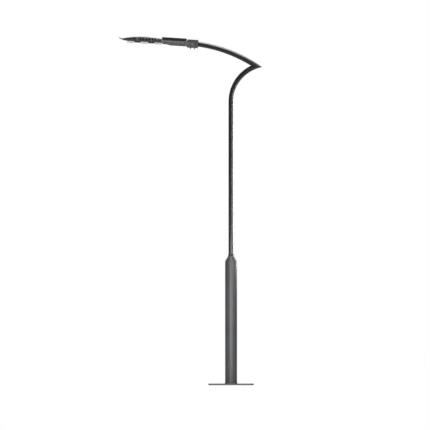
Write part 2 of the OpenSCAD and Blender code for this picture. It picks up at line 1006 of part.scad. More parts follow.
// Flat frame with an opening for each LED module and a deep web between the modules
module front_frame() {
    web_half = panel_pitch - panel_l;
    color("dimgray")
        lamp_frame()
            difference() {
                union() {
                    intersection() {
                        plan_solid(0, u_front, u_split, frame_bottom, frame_top);
                        across(lamp_half_w)
                            polygon([[u_split + eps, frame_bottom], [-775, frame_bottom],
                                     [u_front - eps, nose_foot], [u_front - eps, frame_top],
                                     [u_split + eps, frame_top]]);
                    }
                    for (i = [1 : module_count - 1])
                        translate([panel_u(i) + panel_pitch / 2, 0, 0])
                            across(panel_half_w + 8)
                                polygon([[-web_half / 2 + 1, frame_bottom],
                                         [-web_half / 2 + 4, web_bottom],
                                         [web_half / 2 - 4, web_bottom],
                                         [web_half / 2 - 1, frame_bottom]]);
                }
                for (i = [1 : module_count])
                    translate([panel_u(i) - opening_half_l, -opening_half_w, frame_bottom - eps])
                        cube([2 * opening_half_l, 2 * opening_half_w, 12]);
                for (i = [1 : module_count], s = [-1, 1])
                    translate([panel_u(i), s * (panel_half_w - 2.5), frame_bottom - eps])
                        cylinder(r = 1.5, h = 6);
            }
}

// Upturned beak at the front end; its profile is measured from the tip
module nose_cap() {
    back = u_front + eps - u_tip;
    color("gray")
        lamp_frame()
            intersection() {
                plan_solid(0, u_tip - eps, u_front, -12, 40);
                translate([u_tip, 0, 0])
                    across(lamp_half_w)
                        polygon([[back, nose_foot], [33, 3], [16, 10.5], [4, 18], [-1, 33],
                                 [8, 24.5], [23, 19], [back, sink_top]]);
            }
}

// Height of a fin's crest and of a rib's top at a place along the luminaire
function crest(u) = fin_crest - fin_fall[u > crest_u ? 0 : 1] * pow(u - crest_u, 2);
function rib_top(u) = rib_crest - rib_fall[u > crest_u ? 0 : 1] * pow(u - crest_u, 2);

// How much of its middle height a fin or rib keeps at a place across the luminaire
function arch_share(u, v) = pow(max(0, 1 - pow(v / (half_width(u) - fin_edge), 2)), 0.3);

// One fin: a plate across the luminaire with an arched top
module fin(u) {
    half = half_width(u) - fin_edge;
    rise = crest(u) - sink_top;
    arch = [for (a = [0 : 12 : 180])
        let (v = half * cos(a)) [v, sink_top + rise * arch_share(u, v)]];
    translate([u - fin_t / 2, 0, 0])
        rotate([90, 0, 90])
            linear_extrude(height = fin_t)
                polygon(concat([[-half, sink_top - eps], [half, sink_top - eps]], arch));
}

// One rib: a plate along the luminaire, lower than the fins that it ties together
module rib(v, u0, u1) {
    steps = 12;
    top = [for (k = [0 : steps])
        let (u = u1 + (u0 - u1) * k / steps)
        [u, sink_top + (rib_top(u) - sink_top) * arch_share(u, v)]];
    translate([0, v, 0])
        across(rib_t / 2)
            polygon(concat([[u0, sink_top - eps], [u1, sink_top - eps]], top));
}

function sink_front(i) = i == 1 ? u_front : panel_u(i) - panel_pitch / 2 + sink_gap / 2;
function sink_rear(i) =
    i == module_count ? lid_front - sink_gap : panel_u(i) + panel_pitch / 2 - sink_gap / 2;

// Where a rib starts: further back for an outer rib, so that it stays inside the outline
function rib_front(i, v) =
    max(sink_front(i), u_wide - (u_wide - u_tip) * sqrt(1 - pow((abs(v) + 2 * fin_edge) / lamp_half_w, 2)));

module heat_sink(i) {
    fin_half = (fin_pair_gap + fin_t) / 2;
    pad_gap = 0.5;
    color("dimgray")
        lamp_frame()
            union() {
                plan_solid(0, sink_front(i), sink_rear(i), frame_top, sink_top);
                if (i == module_count)
                    plan_solid(0, sink_rear(i) - 12, u_split - sink_gap, frame_top, house_top - 1);
                translate([panel_u(i) - opening_half_l + pad_gap, -opening_half_w + pad_gap,
                           frame_top - 8])
                    cube([2 * (opening_half_l - pad_gap), 2 * (opening_half_w - pad_gap), 9]);
                for (k = [0 : fin_count - 1], s = [-1, 1])
                    let (u = fin_first - fin_pitch * k + s * fin_half)
                        if (u - fin_t > sink_front(i) && u + fin_t < sink_rear(i)) fin(u);
                for (v = rib_v) rib(v, rib_front(i, v), sink_rear(i));
            }
}

// Circuit boards with their rows of light emitters
module led_boards() {
    color("whitesmoke")
        lamp_frame()
            for (i = [1 : module_count])
                translate([panel_u(i), 0, 0]) {
                    translate([-opening_half_l + 1, -opening_half_w + 1, -10])
                        cube([2 * opening_half_l - 2, 2 * opening_half_w - 2, 2]);
                    for (a = [-1.5 : 1.5], b = [-3 : 3])
                        translate([a * 17, b * 25, -12.5]) cylinder(r = 3.5, h = 3);
                }
}

// Diffuser: an open tray under one LED module
module light_panel(i) {
    top = frame_bottom;
    color("white")
        lamp_frame()
            translate([panel_u(i), 0, 0])
                difference() {
                    across(panel_half_w)
                        polygon([[-panel_l / 2 + 2, top], [-panel_l / 2, panel_bottom],
                                 [panel_l / 2, panel_bottom], [panel_l / 2 - 2, top]]);
                    translate([-panel_l / 2 + panel_wall + 2, -panel_half_w + panel_wall + 2,
                               panel_bottom + panel_wall])
                        cube([panel_l - 2 * panel_wall - 4, 2 * (panel_half_w - panel_wall - 2), 30]);
                    for (s = [-1, 1])
                        translate([0, s * (panel_half_w - 2.5), panel_bottom - eps])
                            cylinder(r = 1.5, h = 30);
                }
}

module panel_screws() {
    color("silver")
        lamp_frame()
            for (i = [1 : module_count], s = [-1, 1])
                translate([panel_u(i), s * (panel_half_w - 2.5), 0]) {
                    translate([0, 0, panel_bottom]) cylinder(r = 1.5, h = 29);
                    translate([0, 0, panel_bottom - 1.5]) cylinder(r = 2.4, h = 1.5);
                }
}

// ---- lid ---------------------------------------------------------------------

// The lid seen from the side: flat top, a sloping lip over the hinge, and cheeks beside it
module lid_profile() {
    across(lamp_half_w)
        polygon([[lid_front, house_top + gasket_t], [lid_front, lid_top], [lid_slope_u, lid_top],
                 [lid_end, lid_lip_w], [lid_end, lid_lip_w - wall],
                 [seal_rear + 16, house_top + gasket_t]]);
}

// Room for the hinge under the lip, between the cheeks
module hinge_pocket() {
    foot = house_top + gasket_t;
    across(half_w_rear - wall)
        polygon([[seal_rear, foot - eps], [seal_rear, lid_top - wall], [lid_slope_u - 1, lid_top - wall],
                 [lid_end - 1.5, lid_lip_w - wall], [lid_end + eps, lid_lip_w - 2 * wall],
                 [lid_end + eps, foot - eps]]);
}

module gear_lid() {
    foot = house_top + gasket_t;
    boss_r = 8;
    head_r = 7;
    shank_r = 3;
    color([0.2, 0.2, 0.21])
        lamp_frame()
            difference() {
                union() {
                    difference() {
                        intersection() {
                            plan_solid(0, lid_front, lid_end, foot, lid_top);
                            lid_profile();
                        }
                        plan_solid(wall, lid_front + 8, seal_rear, foot - eps, lid_top - wall);
                        hinge_pocket();
                        for (v = ear_v)
                            translate([seal_rear, v - ear_half - run_clear, foot])
                                cube([30, 2 * (ear_half + run_clear), lid_top]);
                    }
                    for (s = [-1, 1])
                        translate([fastener_u, s * fastener_v, foot])
                            cylinder(r = boss_r, h = lid_top - foot);
                    for (s = [-1, 1])
                        translate([lid_axis[0], s * 25 - 5, lid_axis[1]]) {
                            rod_y(lid_knuckle_r, 0, 10);
                            translate([-3, 0, 0]) cube([6, 10, 8]);
                        }
                }
                translate([lid_axis[0], 0, lid_axis[1]])
                    rod_y(lid_pin_r + run_gap, -lamp_half_w, lamp_half_w);
                for (s = [-1, 1])
                    translate([fastener_u, s * fastener_v, 0]) {
                        translate([0, 0, foot - eps]) cylinder(r = shank_r + run_gap, h = lid_top);
                        translate([0, 0, lid_top - 3]) cylinder(r = head_r, h = 10);
                    }
            }
}

// Quarter-turn fastener: slotted head in the lid's recess and a cam under the housing's ledge
module lid_fastener(side) {
    cam_top = 13.6;
    head = lid_top - 2.8;
    color("silver")
        lamp_frame()
            translate([fastener_u, side * fastener_v, 0])
                difference() {
                    union() {
                        translate([0, 0, cam_top - 4]) cylinder(r = 3, h = head - cam_top + 5);
                        translate([0, 0, head]) cylinder(r = 6.5, h = 3);
                        translate([-11, -3, cam_top - 4]) cube([14, 6, 4]);
                    }
                    translate([-10, -0.8, head + 1.5]) cube([20, 1.6, 4]);
                }
}

base_plate();
lower_post();
shoulder_cone();
centring_ring();
pole_tube();
swan_neck();
arm_tube();
arm_spigot();
door_frame();
door_gasket();
post_hinge_leaves();
door_hinge_pins();
lock_strike();
backboard();
board_brackets();
board_screws();
fuse_box();
box_gland();
supply_terminals();
terminal_screws();
earth_stud();
earth_nut();
riser_cable();
access_door();
door_hinge_leaves();
lock_barrel();
lock_spindle();
fuse_carrier(carrier_z[0]);  // fuse_carrier_1
fuse_carrier(carrier_z[1]);  // fuse_carrier_2
slip_fitter();
fitter_cap();
cap_screws();
fitter_seal();
clamp_bolts();
tilt_bolts();
tilt_washers();
gear_housing();
bottom_pan();
pan_screws();
lid_gasket();
lid_hinge_pin();
driver();
driver_screws();
surge_protector();
lamp_terminals();
lamp_gland();
lamp_cable();
front_frame();
nose_cap();
heat_sink(1);  // heat_sink_1
heat_sink(2);  // heat_sink_2
heat_sink(3);  // heat_sink_3
led_boards();
light_panel(1);  // light_panel_1
light_panel(2);  // light_panel_2
light_panel(3);  // light_panel_3
panel_screws();
gear_lid();
lid_fastener(1);  // lid_fastener_1
lid_fastener(-1);  // lid_fastener_2
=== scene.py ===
"""Street lamp post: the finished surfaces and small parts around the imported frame."""

import json
import math

import bmesh
import bpy
from bpy.props import FloatProperty, FloatVectorProperty, PointerProperty
from mathutils import Matrix, Vector
from mathutils.geometry import convex_hull_2d


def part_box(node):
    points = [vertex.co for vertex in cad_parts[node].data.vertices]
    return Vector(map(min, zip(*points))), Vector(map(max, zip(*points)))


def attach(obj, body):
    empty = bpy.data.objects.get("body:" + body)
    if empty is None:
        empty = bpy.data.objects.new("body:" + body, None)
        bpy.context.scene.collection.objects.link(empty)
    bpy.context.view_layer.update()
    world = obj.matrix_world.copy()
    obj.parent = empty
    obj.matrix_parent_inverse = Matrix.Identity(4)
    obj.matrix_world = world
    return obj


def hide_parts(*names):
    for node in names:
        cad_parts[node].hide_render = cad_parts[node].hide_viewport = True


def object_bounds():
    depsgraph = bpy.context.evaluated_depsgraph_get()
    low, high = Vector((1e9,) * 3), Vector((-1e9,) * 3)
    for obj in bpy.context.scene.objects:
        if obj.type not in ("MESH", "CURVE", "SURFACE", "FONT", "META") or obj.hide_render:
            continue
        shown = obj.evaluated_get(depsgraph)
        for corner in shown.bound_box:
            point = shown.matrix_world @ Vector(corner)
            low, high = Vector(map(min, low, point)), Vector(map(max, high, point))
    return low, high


bl_info = {
    "name": "Street Lamp Post",
    "version": (1, 0, 0),
    "blender": (4, 5, 0),
    "location": "3D View > Sidebar > Lamp Post",
    "description": "Builds a street lamp post's paint, welds, screws, relief and wiring",
    "category": "Add Mesh",
}

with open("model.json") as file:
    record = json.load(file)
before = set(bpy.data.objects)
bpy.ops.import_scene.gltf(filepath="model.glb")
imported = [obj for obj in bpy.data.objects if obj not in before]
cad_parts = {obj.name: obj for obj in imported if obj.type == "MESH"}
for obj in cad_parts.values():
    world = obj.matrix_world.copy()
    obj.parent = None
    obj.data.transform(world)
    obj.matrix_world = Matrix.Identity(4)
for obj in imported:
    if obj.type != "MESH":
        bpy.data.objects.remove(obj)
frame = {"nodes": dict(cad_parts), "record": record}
CAD_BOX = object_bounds()
NODES = frame["nodes"]
JOINTS = {joint["name"]: joint for joint in frame["record"]["behaviour"]["joints"]}

# The luminaire's own frame: origin on the tilt axis, x back along the arm, y across, z up.
TILT_PIVOT = Vector(JOINTS["luminaire_tilt"]["pos_m"])
LAMP_UP = Vector(JOINTS["lid_fastener_1_turn"]["axis"])
LAMP_TILT = math.atan2(LAMP_UP.x, LAMP_UP.z)
LAMP = Matrix.Translation(TILT_PIVOT) @ Matrix.Rotation(LAMP_TILT, 4, "Y")


def lamp_box(node):
    """Lowest and highest corner of a CAD node in the luminaire's own frame."""
    corners = [LAMP.inverted() @ vertex.co for vertex in NODES[node].data.vertices]
    low = Vector([min(c[i] for c in corners) for i in range(3)])
    high = Vector([max(c[i] for c in corners) for i in range(3)])
    return low, high


# ---- properties ------------------------------------------------------------------


def colour(name, description, default):
    return FloatVectorProperty(name=name, description=description, default=default, size=3,
                               min=0, max=1, subtype="COLOR")


class LampPostPaint(bpy.types.PropertyGroup):
    """Colours and finishes of the lamp post"""

    post: colour("Post", "Paint of the lower post and its shoulder", (0.040, 0.041, 0.044))
    tube: colour("Tube", "Paint of the upper tube and the arm", (0.012, 0.012, 0.013))
    plate: colour("Plate", "Paint of the base plate", (0.050, 0.050, 0.052))
    casting: colour("Casting", "Paint of the gear housing and the fitter", (0.205, 0.207, 0.210))
    # The heat sink paint is the casting grey darkened: painted shade standing in for the shade
    # among the fins.
    shaded_casting: colour(
        "Dark casting", "Paint of the heat sinks and their frame", (0.110, 0.110, 0.114))
    lid: colour("Lid", "Paint of the gear lid", (0.022, 0.022, 0.024))
    diffuser: colour("Diffuser", "Opal plastic of the light panels", (0.86, 0.87, 0.88))
    grime: FloatProperty(
        name="Grime", description="How much road dirt lies on the foot of the post",
        default=0.35, min=0, max=1, subtype="FACTOR")


class LampPostSizes(bpy.types.PropertyGroup):
    """Sizes of the small parts of the lamp post"""

    weld_radius: FloatProperty(
        name="Weld radius", description="Half width of a weld bead",
        default=0.005, min=0.002, max=0.01, unit="LENGTH")
    weld_ripple: FloatProperty(
        name="Weld ripple", description="Distance from one weld ripple to the next",
        default=0.0035, min=0.002, max=0.01, unit="LENGTH")
    wire_diameter: FloatProperty(
        name="Wire", description="Diameter of a single wire over its insulation",
        default=0.0028, min=0.001, max=0.005, unit="LENGTH")


def paint():
    return bpy.context.scene.lamp_post_paint


def sizes():
    return bpy.context.scene.lamp_post_sizes


# ---- node trees --------------------------------------------------------------------


class Value:
    """A socket of a node tree. Sums and products of values add their own Math nodes."""

    def __init__(self, tree, socket=None):
        self.tree = tree
        self.socket = socket

    def node(self, kind, settings=None, inputs=None, output=0):
        """Adds a node, its settings first and its inputs next, and returns one of its outputs."""
        made = self.tree.nodes.new(kind)
        for name, setting in (settings or {}).items():
            if name == "stops":
                fill_ramp(made.color_ramp, setting)
            else:
                setattr(made, name, setting)
        for name, value in (inputs or {}).items():
            if isinstance(value, Value):
                self.tree.links.new(value.socket, made.inputs[name])
            else:
                made.inputs[name].default_value = value
        return Value(self.tree, made.outputs[output])

    def maths(self, operation, *operands):
        kind = "ShaderNodeMath"
        return self.node(kind, {"operation": operation}, dict(enumerate(operands)))

    def __add__(self, other):
        return self.maths("ADD", self, other)

    __radd__ = __add__

    def __mul__(self, other):
        return self.maths("MULTIPLY", self, other)

    __rmul__ = __mul__

    def __sub__(self, other):
        return self.maths("SUBTRACT", self, other)

    def __rsub__(self, other):
        return self.maths("SUBTRACT", other, self)

    def __truediv__(self, other):
        return self.maths("DIVIDE", self, other)

    def __pow__(self, other):
        return self.maths("POWER", self, other)

    def clamped(self):
        return self.maths("MINIMUM", self.maths("MAXIMUM", self, 0.0), 1.0)

    def step(self, low, high):
        """0 below low, 1 above high, and a smooth rise between them."""
        return self.node(
            "ShaderNodeMapRange", {"interpolation_type": "SMOOTHSTEP"},
            {"Value": self, "From Min": low, "From Max": high})


def fill_ramp(ramp, stops):
    """Sets a colour ramp's stops from (position, grey or colour) pairs."""
    while len(ramp.elements) > 1:
        ramp.elements.remove(ramp.elements[-1])
    for index, (position, colour) in enumerate(stops):
        element = ramp.elements[0] if index == 0 else ramp.elements.new(position)
        element.position = position
        shade = (colour,) * 3 if isinstance(colour, (int, float)) else tuple(colour)
        element.color = (*shade, 1.0)


class Finish:
    """A material with a Principled shader and the patterns that drive it."""

    def __init__(self, name, **constants):
        self.material = bpy.data.materials.new(name)
        self.material.use_nodes = True
        self.tree = self.material.node_tree
        self.shader = self.tree.nodes["Principled BSDF"]
        for socket, value in constants.items():
            self.shader.inputs[socket.replace("_", " ")].default_value = value
        self.root = Value(self.tree)
        self.place = self.root.node("ShaderNodeTexCoord", output="Object")

    def stretched(self, x, y, z):
        """Object coordinates stretched by a factor along each axis."""
        return self.root.node(
            "ShaderNodeMapping", {}, {"Vector": self.place, "Scale": (x, y, z)})

    def noise(self, scale, detail=3.0, place=None, rough=0.55):
        return self.root.node(
            "ShaderNodeTexNoise", {},
            {"Vector": place or self.place, "Scale": scale, "Detail": detail, "Roughness": rough})

    def cells(self, scale, feature="F1", place=None, output="Distance"):
        return self.root.node(
            "ShaderNodeTexVoronoi", {"feature": feature},
            {"Vector": place or self.place, "Scale": scale}, output)

    def height(self):
        """Height above the ground, as a value."""
        return self.root.node("ShaderNodeSeparateXYZ", {}, {"Vector": self.place}, "Z")

    def mix(self, factor, first, second):
        """Mixes two colours, given as values or as triples."""
        mixer = self.tree.nodes.new("ShaderNodeMix")
        mixer.data_type = "RGBA"
        for socket, value in ((mixer.inputs[0], factor), (mixer.inputs[6], first),
                              (mixer.inputs[7], second)):
            if isinstance(value, Value):
                self.tree.links.new(value.socket, socket)
            else:
                socket.default_value = value if isinstance(value, float) else (*value, 1.0)
        return Value(self.tree, mixer.outputs[2])

    def set(self, socket, value):
        self.tree.links.new(value.socket, self.shader.inputs[socket])
        return self

    def bump(self, height, distance, strength=0.5):
        relief = self.root.node(
            "ShaderNodeBump", {}, {"Height": height, "Distance": distance, "Strength": strength})
        return self.set("Normal", relief)


FINISHES = {}


def finish_named(name):
    """The material of that name, made on first use from its row or by its function."""
    if name not in FINISHES:
        if name in PLASTICS:
            FINISHES[name] = moulded(name, *PLASTICS[name])
        else:
            FINISHES[name] = FINISH_MAKERS[name](name)
    return FINISHES[name].material


def shade(colour, factor):
    return tuple(min(1.0, part * factor) for part in colour)


def powder_coat(name, colour, rough, coat, peel=0.35, chips=0.0, grime=0.0, dust=1.0):
    """Powder coat: orange peel, a little fading, fine dust, and chips along worn places."""
    coating = Finish(name, Coat_Roughness=0.12, Specular_IOR_Level=0.5)
    fading = coating.noise(2.2, 4.0)
    film = coating.noise(38.0, 6.0, rough=0.7).step(0.45, 0.75) * dust
    streaks = coating.noise(26.0, 4.0, coating.stretched(1.0, 1.0, 0.07)).step(0.5, 0.78) * dust
    body = coating.mix(fading.step(0.3, 0.7), shade(colour, 0.86), shade(colour, 1.12))
    body = coating.mix(film * 0.16 + streaks * 0.10, body, shade(colour, 1.9))
    roughness = fading * 0.10 + film * 0.10 + (rough - 0.08)
    if grime:
        low = 1 - coating.height().step(0.0, 0.42)
        splash = (low * (coating.noise(17.0, 7.0, rough=0.75) + 0.25)).clamped()
        body = coating.mix(splash * grime, body, (0.080, 0.076, 0.068))
        roughness = (roughness + splash * grime * 0.35).clamped()
    if chips:
        chip = coating.noise(61.0, 2.0).step(0.80 - chips, 0.82 - chips)
        body = coating.mix(chip, body, (0.33, 0.33, 0.34))
        roughness = (roughness + chip * 0.2).clamped()
    coating.set("Base Color", body).set("Roughness", roughness)
    coating.shader.inputs["Coat Weight"].default_value = coat
    orange_peel = coating.noise(420.0, 2.0) + coating.noise(90.0, 2.0) * 0.5
    return coating.bump(orange_peel, 0.00025, peel)


def post_paint(name):
    return powder_coat(name, paint().post, 0.50, 0.10, grime=paint().grime, chips=0.02)


def tube_paint(name):
    return powder_coat(name, paint().tube, 0.38, 0.30, peel=0.08, dust=0.3)


def plate_paint(name):
    return powder_coat(name, paint().plate, 0.55, 0.0, peel=0.6, chips=0.03, grime=paint().grime)


def cast_grey(name):
    return powder_coat(name, paint().casting, 0.42, 0.15, peel=0.6)


# Painted shade: a darker copy of the casting paint on the heat sinks, for the shade among their
# fins.
def cast_dark(name):
    return powder_coat(name, paint().shaded_casting, 0.45, 0.10, peel=0.6)


def lid_dark(name):
    return powder_coat(name, paint().lid, 0.38, 0.20, peel=0.5)


def galvanised(name):
    """Hot-dip zinc: large soft spangle, dull grey with pale crystals."""
    zinc = Finish(name, Metallic=0.85)
    spangle = zinc.cells(140.0, output="Color")
    tone = zinc.root.node("ShaderNodeSeparateColor", {}, {"Color": spangle})
    body = zinc.mix(tone, (0.36, 0.37, 0.38), (0.58, 0.59, 0.61))
    zinc.set("Base Color", body).set("Roughness", tone * 0.22 + 0.36)
    return zinc.bump(tone + zinc.noise(500.0) * 0.4, 0.0002, 0.3)


def stainless(name):
    """Stainless steel with fine drawn lines and a few handling marks."""
    steel = Finish(name, Metallic=1.0)
    lines = steel.noise(900.0, 3.0, steel.stretched(1.0, 1.0, 0.05))
    marks = steel.noise(70.0, 5.0).step(0.55, 0.75)
    body = steel.mix(lines, (0.36, 0.36, 0.37), (0.48, 0.48, 0.49))
    steel.set("Base Color", body).set("Roughness", lines * 0.16 + marks * 0.16 + 0.34)
    return steel.bump(lines, 0.0001, 0.25)


def brass_part(name):
    """Brass: brushed, with brown tarnish in blotches."""
    brass = Finish(name, Metallic=1.0)
    tarnish = brass.noise(120.0, 5.0, rough=0.65).step(0.42, 0.70)
    body = brass.mix(tarnish, (0.78, 0.56, 0.24), (0.34, 0.22, 0.10))
    brass.set("Base Color", body).set("Roughness", tarnish * 0.3 + 0.22)
    return brass.bump(brass.noise(600.0), 0.0001, 0.2)


def diffuser(name):
    """Opal diffuser: soft white plastic with fine prism lines and a trace of dust."""
    opal = Finish(name, Subsurface_Weight=0.15, Subsurface_Scale=0.01, Coat_Weight=0.25,
                  Coat_Roughness=0.1, Emission_Strength=0.34)
    dust = opal.noise(60.0, 5.0, rough=0.7).step(0.45, 0.8)
    tint = tuple(paint().diffuser)
    opal.set("Base Color", opal.mix(dust * 0.35, tint, shade(tint, 0.82)))
    opal.set("Roughness", dust * 0.2 + 0.30)
    opal.shader.inputs["Emission Color"].default_value = (*tint, 1)
    prisms = opal.root.node(
        "ShaderNodeTexWave", {"bands_direction": "X", "wave_profile": "TRI"},
        {"Vector": opal.place, "Scale": 55.0, "Distortion": 0.0})
    return opal.bump(prisms, 0.0004, 0.35)


def board_white(name):
    """White solder resist with the raised tracks of a circuit board."""
    board = Finish(name)
    tracks = board.cells(95.0, "DISTANCE_TO_EDGE").step(0.03, 0.06)
    body = board.mix(tracks, (0.70, 0.72, 0.70), (0.83, 0.84, 0.82))
    board.set("Base Color", body).set("Roughness", tracks * 0.1 + 0.34)
    return board.bump(tracks, 0.0001, 0.4)


def rubber_black(name):
    rubber = Finish(name, Specular_IOR_Level=0.3)
    bloom = rubber.noise(45.0, 6.0, rough=0.7)
    body = rubber.mix(bloom.step(0.4, 0.7), (0.012, 0.012, 0.012), (0.05, 0.048, 0.045))
    rubber.set("Base Color", body)
    rubber.set("Roughness", bloom * 0.2 + 0.62)
    return rubber.bump(rubber.noise(800.0), 0.0002, 0.4)


def moulded(name, colour, rough, grain):
    """Moulded plastic: spark-eroded grain, faint flow marks and greasy finger marks."""
    plastic = Finish(name)
    flow = plastic.noise(9.0, 3.0, plastic.stretched(1.0, 1.0, 0.25))
    marks = plastic.noise(55.0, 5.0).step(0.5, 0.75)
    body = plastic.mix(flow, shade(colour, 0.85), shade(colour, 1.12))
    plastic.set("Base Color", plastic.mix(marks * 0.2, body, shade(colour, 0.7)))
    plastic.set("Roughness", marks * 0.18 + rough)
    return plastic.bump(plastic.noise(950.0, 2.0), 0.0002, grain)


def board_grp(name):
    """Glass-reinforced laminate: a crossed weave under brown resin."""
    sheet = Finish(name)
    warp = sheet.root.node(
        "ShaderNodeTexWave", {"bands_direction": "X"}, {"Vector": sheet.place, "Scale": 160.0})
    weft = sheet.root.node(
        "ShaderNodeTexWave", {"bands_direction": "Z"}, {"Vector": sheet.place, "Scale": 160.0})
    weave = warp * weft
    sheet.set("Base Color", sheet.mix(weave, (0.20, 0.14, 0.07), (0.34, 0.26, 0.14)))
    sheet.set("Roughness", weave * 0.2 + 0.32)
    return sheet.bump(weave, 0.0002, 0.4)


def wire_earth(name):
    """Earth wire: green with a yellow stripe that winds round it."""
    wire = Finish(name, Roughness=0.4)
    stripe = wire.root.node(
        "ShaderNodeTexWave", {"bands_direction": "DIAGONAL"}, {"Vector": wire.place, "Scale": 34.0})
    wire.set("Base Color", wire.mix(stripe.step(0.5, 0.62), (0.03, 0.26, 0.05), (0.75, 0.60, 0.04)))
    return wire.bump(wire.noise(700.0), 0.0001, 0.1)


# Plain plastics and wires: colour, roughness and depth of the grain.
PLASTICS = {
    "cable_black": ((0.02, 0.02, 0.021), 0.48, 0.2),
    "plastic_dark": ((0.045, 0.045, 0.05), 0.45, 0.5),
    "plastic_ivory": ((0.62, 0.57, 0.44), 0.36, 0.25),
    "plastic_red": ((0.36, 0.035, 0.03), 0.38, 0.3),
    "driver_case": ((0.52, 0.53, 0.52), 0.44, 0.35),
    "wire_brown": ((0.12, 0.045, 0.02), 0.4, 0.1),
    "wire_blue": ((0.03, 0.09, 0.34), 0.4, 0.1),
}
FINISH_MAKERS = {
    maker.__name__: maker
    for maker in (post_paint, tube_paint, plate_paint, cast_grey, cast_dark, lid_dark, galvanised,
                  stainless, brass_part, diffuser, board_white, rubber_black, board_grp,
                  wire_earth)
}


# ---- stage -------------------------------------------------------------------------

BASE_LOW, BASE_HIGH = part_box("base_plate")
OBJECT_HEIGHT = CAD_BOX[1].z - CAD_BOX[0].z
VIEW_MARGIN = 0.232
VIEW_CENTRE_X = -0.1884
VIEW_CENTRE_Z = 1.994
CAMERA_BACK = 12.0


class LAMPPOST_OT_stage(bpy.types.Operator):
    """Sets the pale floor, the soft lights and the camera"""

    bl_idname = "lamp_post.stage"
    bl_label = "Stage"

    def execute(self, context):
        make_floor()
        make_sky()
        make_lights()
        make_camera()
        return {"FINISHED"}


def new_object(name, data):
    made = bpy.data.objects.new(name, data)
    bpy.context.scene.collection.objects.link(made)
    return made


def make_floor():
    """A pale floor just under the base plate."""
    half = 30.0
    mesh = bpy.data.meshes.new("floor")
    mesh.from_pydata([(-half, -half, 0), (half, -half, 0), (half, half, 0), (-half, half, 0)],
                     [], [(0, 1, 2, 3)])
    mesh.transform(Matrix.Translation((0, 0, BASE_LOW.z - 0.0005)))
    floor = new_object("floor", mesh)
    ground = Finish("pale_floor", Roughness=0.9)
    grain = ground.noise(6.0, 5.0)
    ground.set("Base Color", ground.mix(grain, (0.86, 0.86, 0.86), (0.90, 0.90, 0.90)))
    ground.shader.inputs["Emission Color"].default_value = (1, 1, 1, 1)
    ground.shader.inputs["Emission Strength"].default_value = 0.36
    mesh.materials.append(ground.material)


def make_sky():
    """White behind everything; as a light it is a dim studio, brighter on the camera's side."""
    world = bpy.data.worlds.new("studio")
    bpy.context.scene.world = world
    world.use_nodes = True
    tree = world.node_tree
    tree.nodes.clear()
    root = Value(tree)
    place = root.node("ShaderNodeTexCoord", output="Generated")
    parts = tree.nodes.new("ShaderNodeSeparateXYZ")
    tree.links.new(place.socket, parts.inputs[0])
    toward_camera = 1 - Value(tree, parts.outputs["Y"]).step(-0.9, 0.5)
    glow = toward_camera * 0.24 + 0.10
    lit = root.node("ShaderNodeBackground", {}, {"Strength": glow})
    plain = root.node("ShaderNodeBackground", {}, {"Strength": 1.0, "Color": (1, 1, 1, 1)})
    seen = root.node("ShaderNodeLightPath", output="Is Camera Ray")
    both = root.node("ShaderNodeMixShader", {}, {0: seen, 1: lit, 2: plain})
    out = tree.nodes.new("ShaderNodeOutputWorld")
    tree.links.new(both.socket, out.inputs["Surface"])


def soft_light(name, place, target, size, power, spread=180):
    lamp = bpy.data.lights.new(name, "AREA")
    lamp.shape = "RECTANGLE"
    lamp.size, lamp.size_y = size
    lamp.energy = power
    lamp.spread = math.radians(spread)
    light = new_object(name, lamp)
    light.visible_camera = False
    light.location = place
    aim = Vector(target) - Vector(place)
    light.rotation_euler = aim.to_track_quat("-Z", "Y").to_euler()


def make_lights():
    """Soft lights: one each for post, shoulder, arm and back, and two for the tube."""
    arm_z = TILT_PIVOT.z
    post_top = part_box("lower_post")[1].z
    tube_mid = (post_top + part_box("pole_tube")[1].z) / 2
    soft_light("post_softbox", (0.0, -1.3, post_top / 2), (0, 0, post_top / 2),
               (1.3, 1.9), 16, spread=120)
    soft_light("cone_light", (0.0, -0.45, post_top + 1.4), (0, 0, post_top), (0.7, 0.4), 1.0,
               spread=40)
    soft_light("tube_panel", (1.1, 0.85, tube_mid), (0, 0, tube_mid), (0.7, 2.0), 13, spread=75)
    soft_light("tube_edge", (1.8, -1.5, tube_mid), (0, 0, tube_mid), (0.6, 1.9), 5, spread=50)
    soft_light("arm_panel", (0.1, 0.2, arm_z + 1.5), (-0.1, 0, arm_z), (2.6, 1.6), 45, spread=120)
    soft_light("back_fill", (0.8, 6.0, 3.0), (0, 0, 1.8), (3.0, 3.0), 40)


def make_camera():
    """Orthographic, level, looking along +Y at the side of the arm."""
    camera_data = bpy.data.cameras.new("camera")
    camera_data.type = "ORTHO"
    camera_data.ortho_scale = OBJECT_HEIGHT * (1 + VIEW_MARGIN)
    camera_data.clip_end = 100
    camera = new_object("camera", camera_data)
    camera.location = (VIEW_CENTRE_X, -CAMERA_BACK, VIEW_CENTRE_Z)
    camera.rotation_euler = (math.radians(90), 0, 0)
    bpy.context.scene.camera = camera
    bpy.context.scene.view_settings.view_transform = "Standard"


# ---- carried-over nodes ----------------------------------------------------------------

SLOTS = {part["node"]: part["material_slot"] for part in frame["record"]["subparts"]}
SLOT_NAMES = {material["slot"] for material in frame["record"]["materials"]}
BODIES = frame["record"]["behaviour"]["bodies"]
HOSTS = {node: body for body, members in BODIES.items() for node in members}

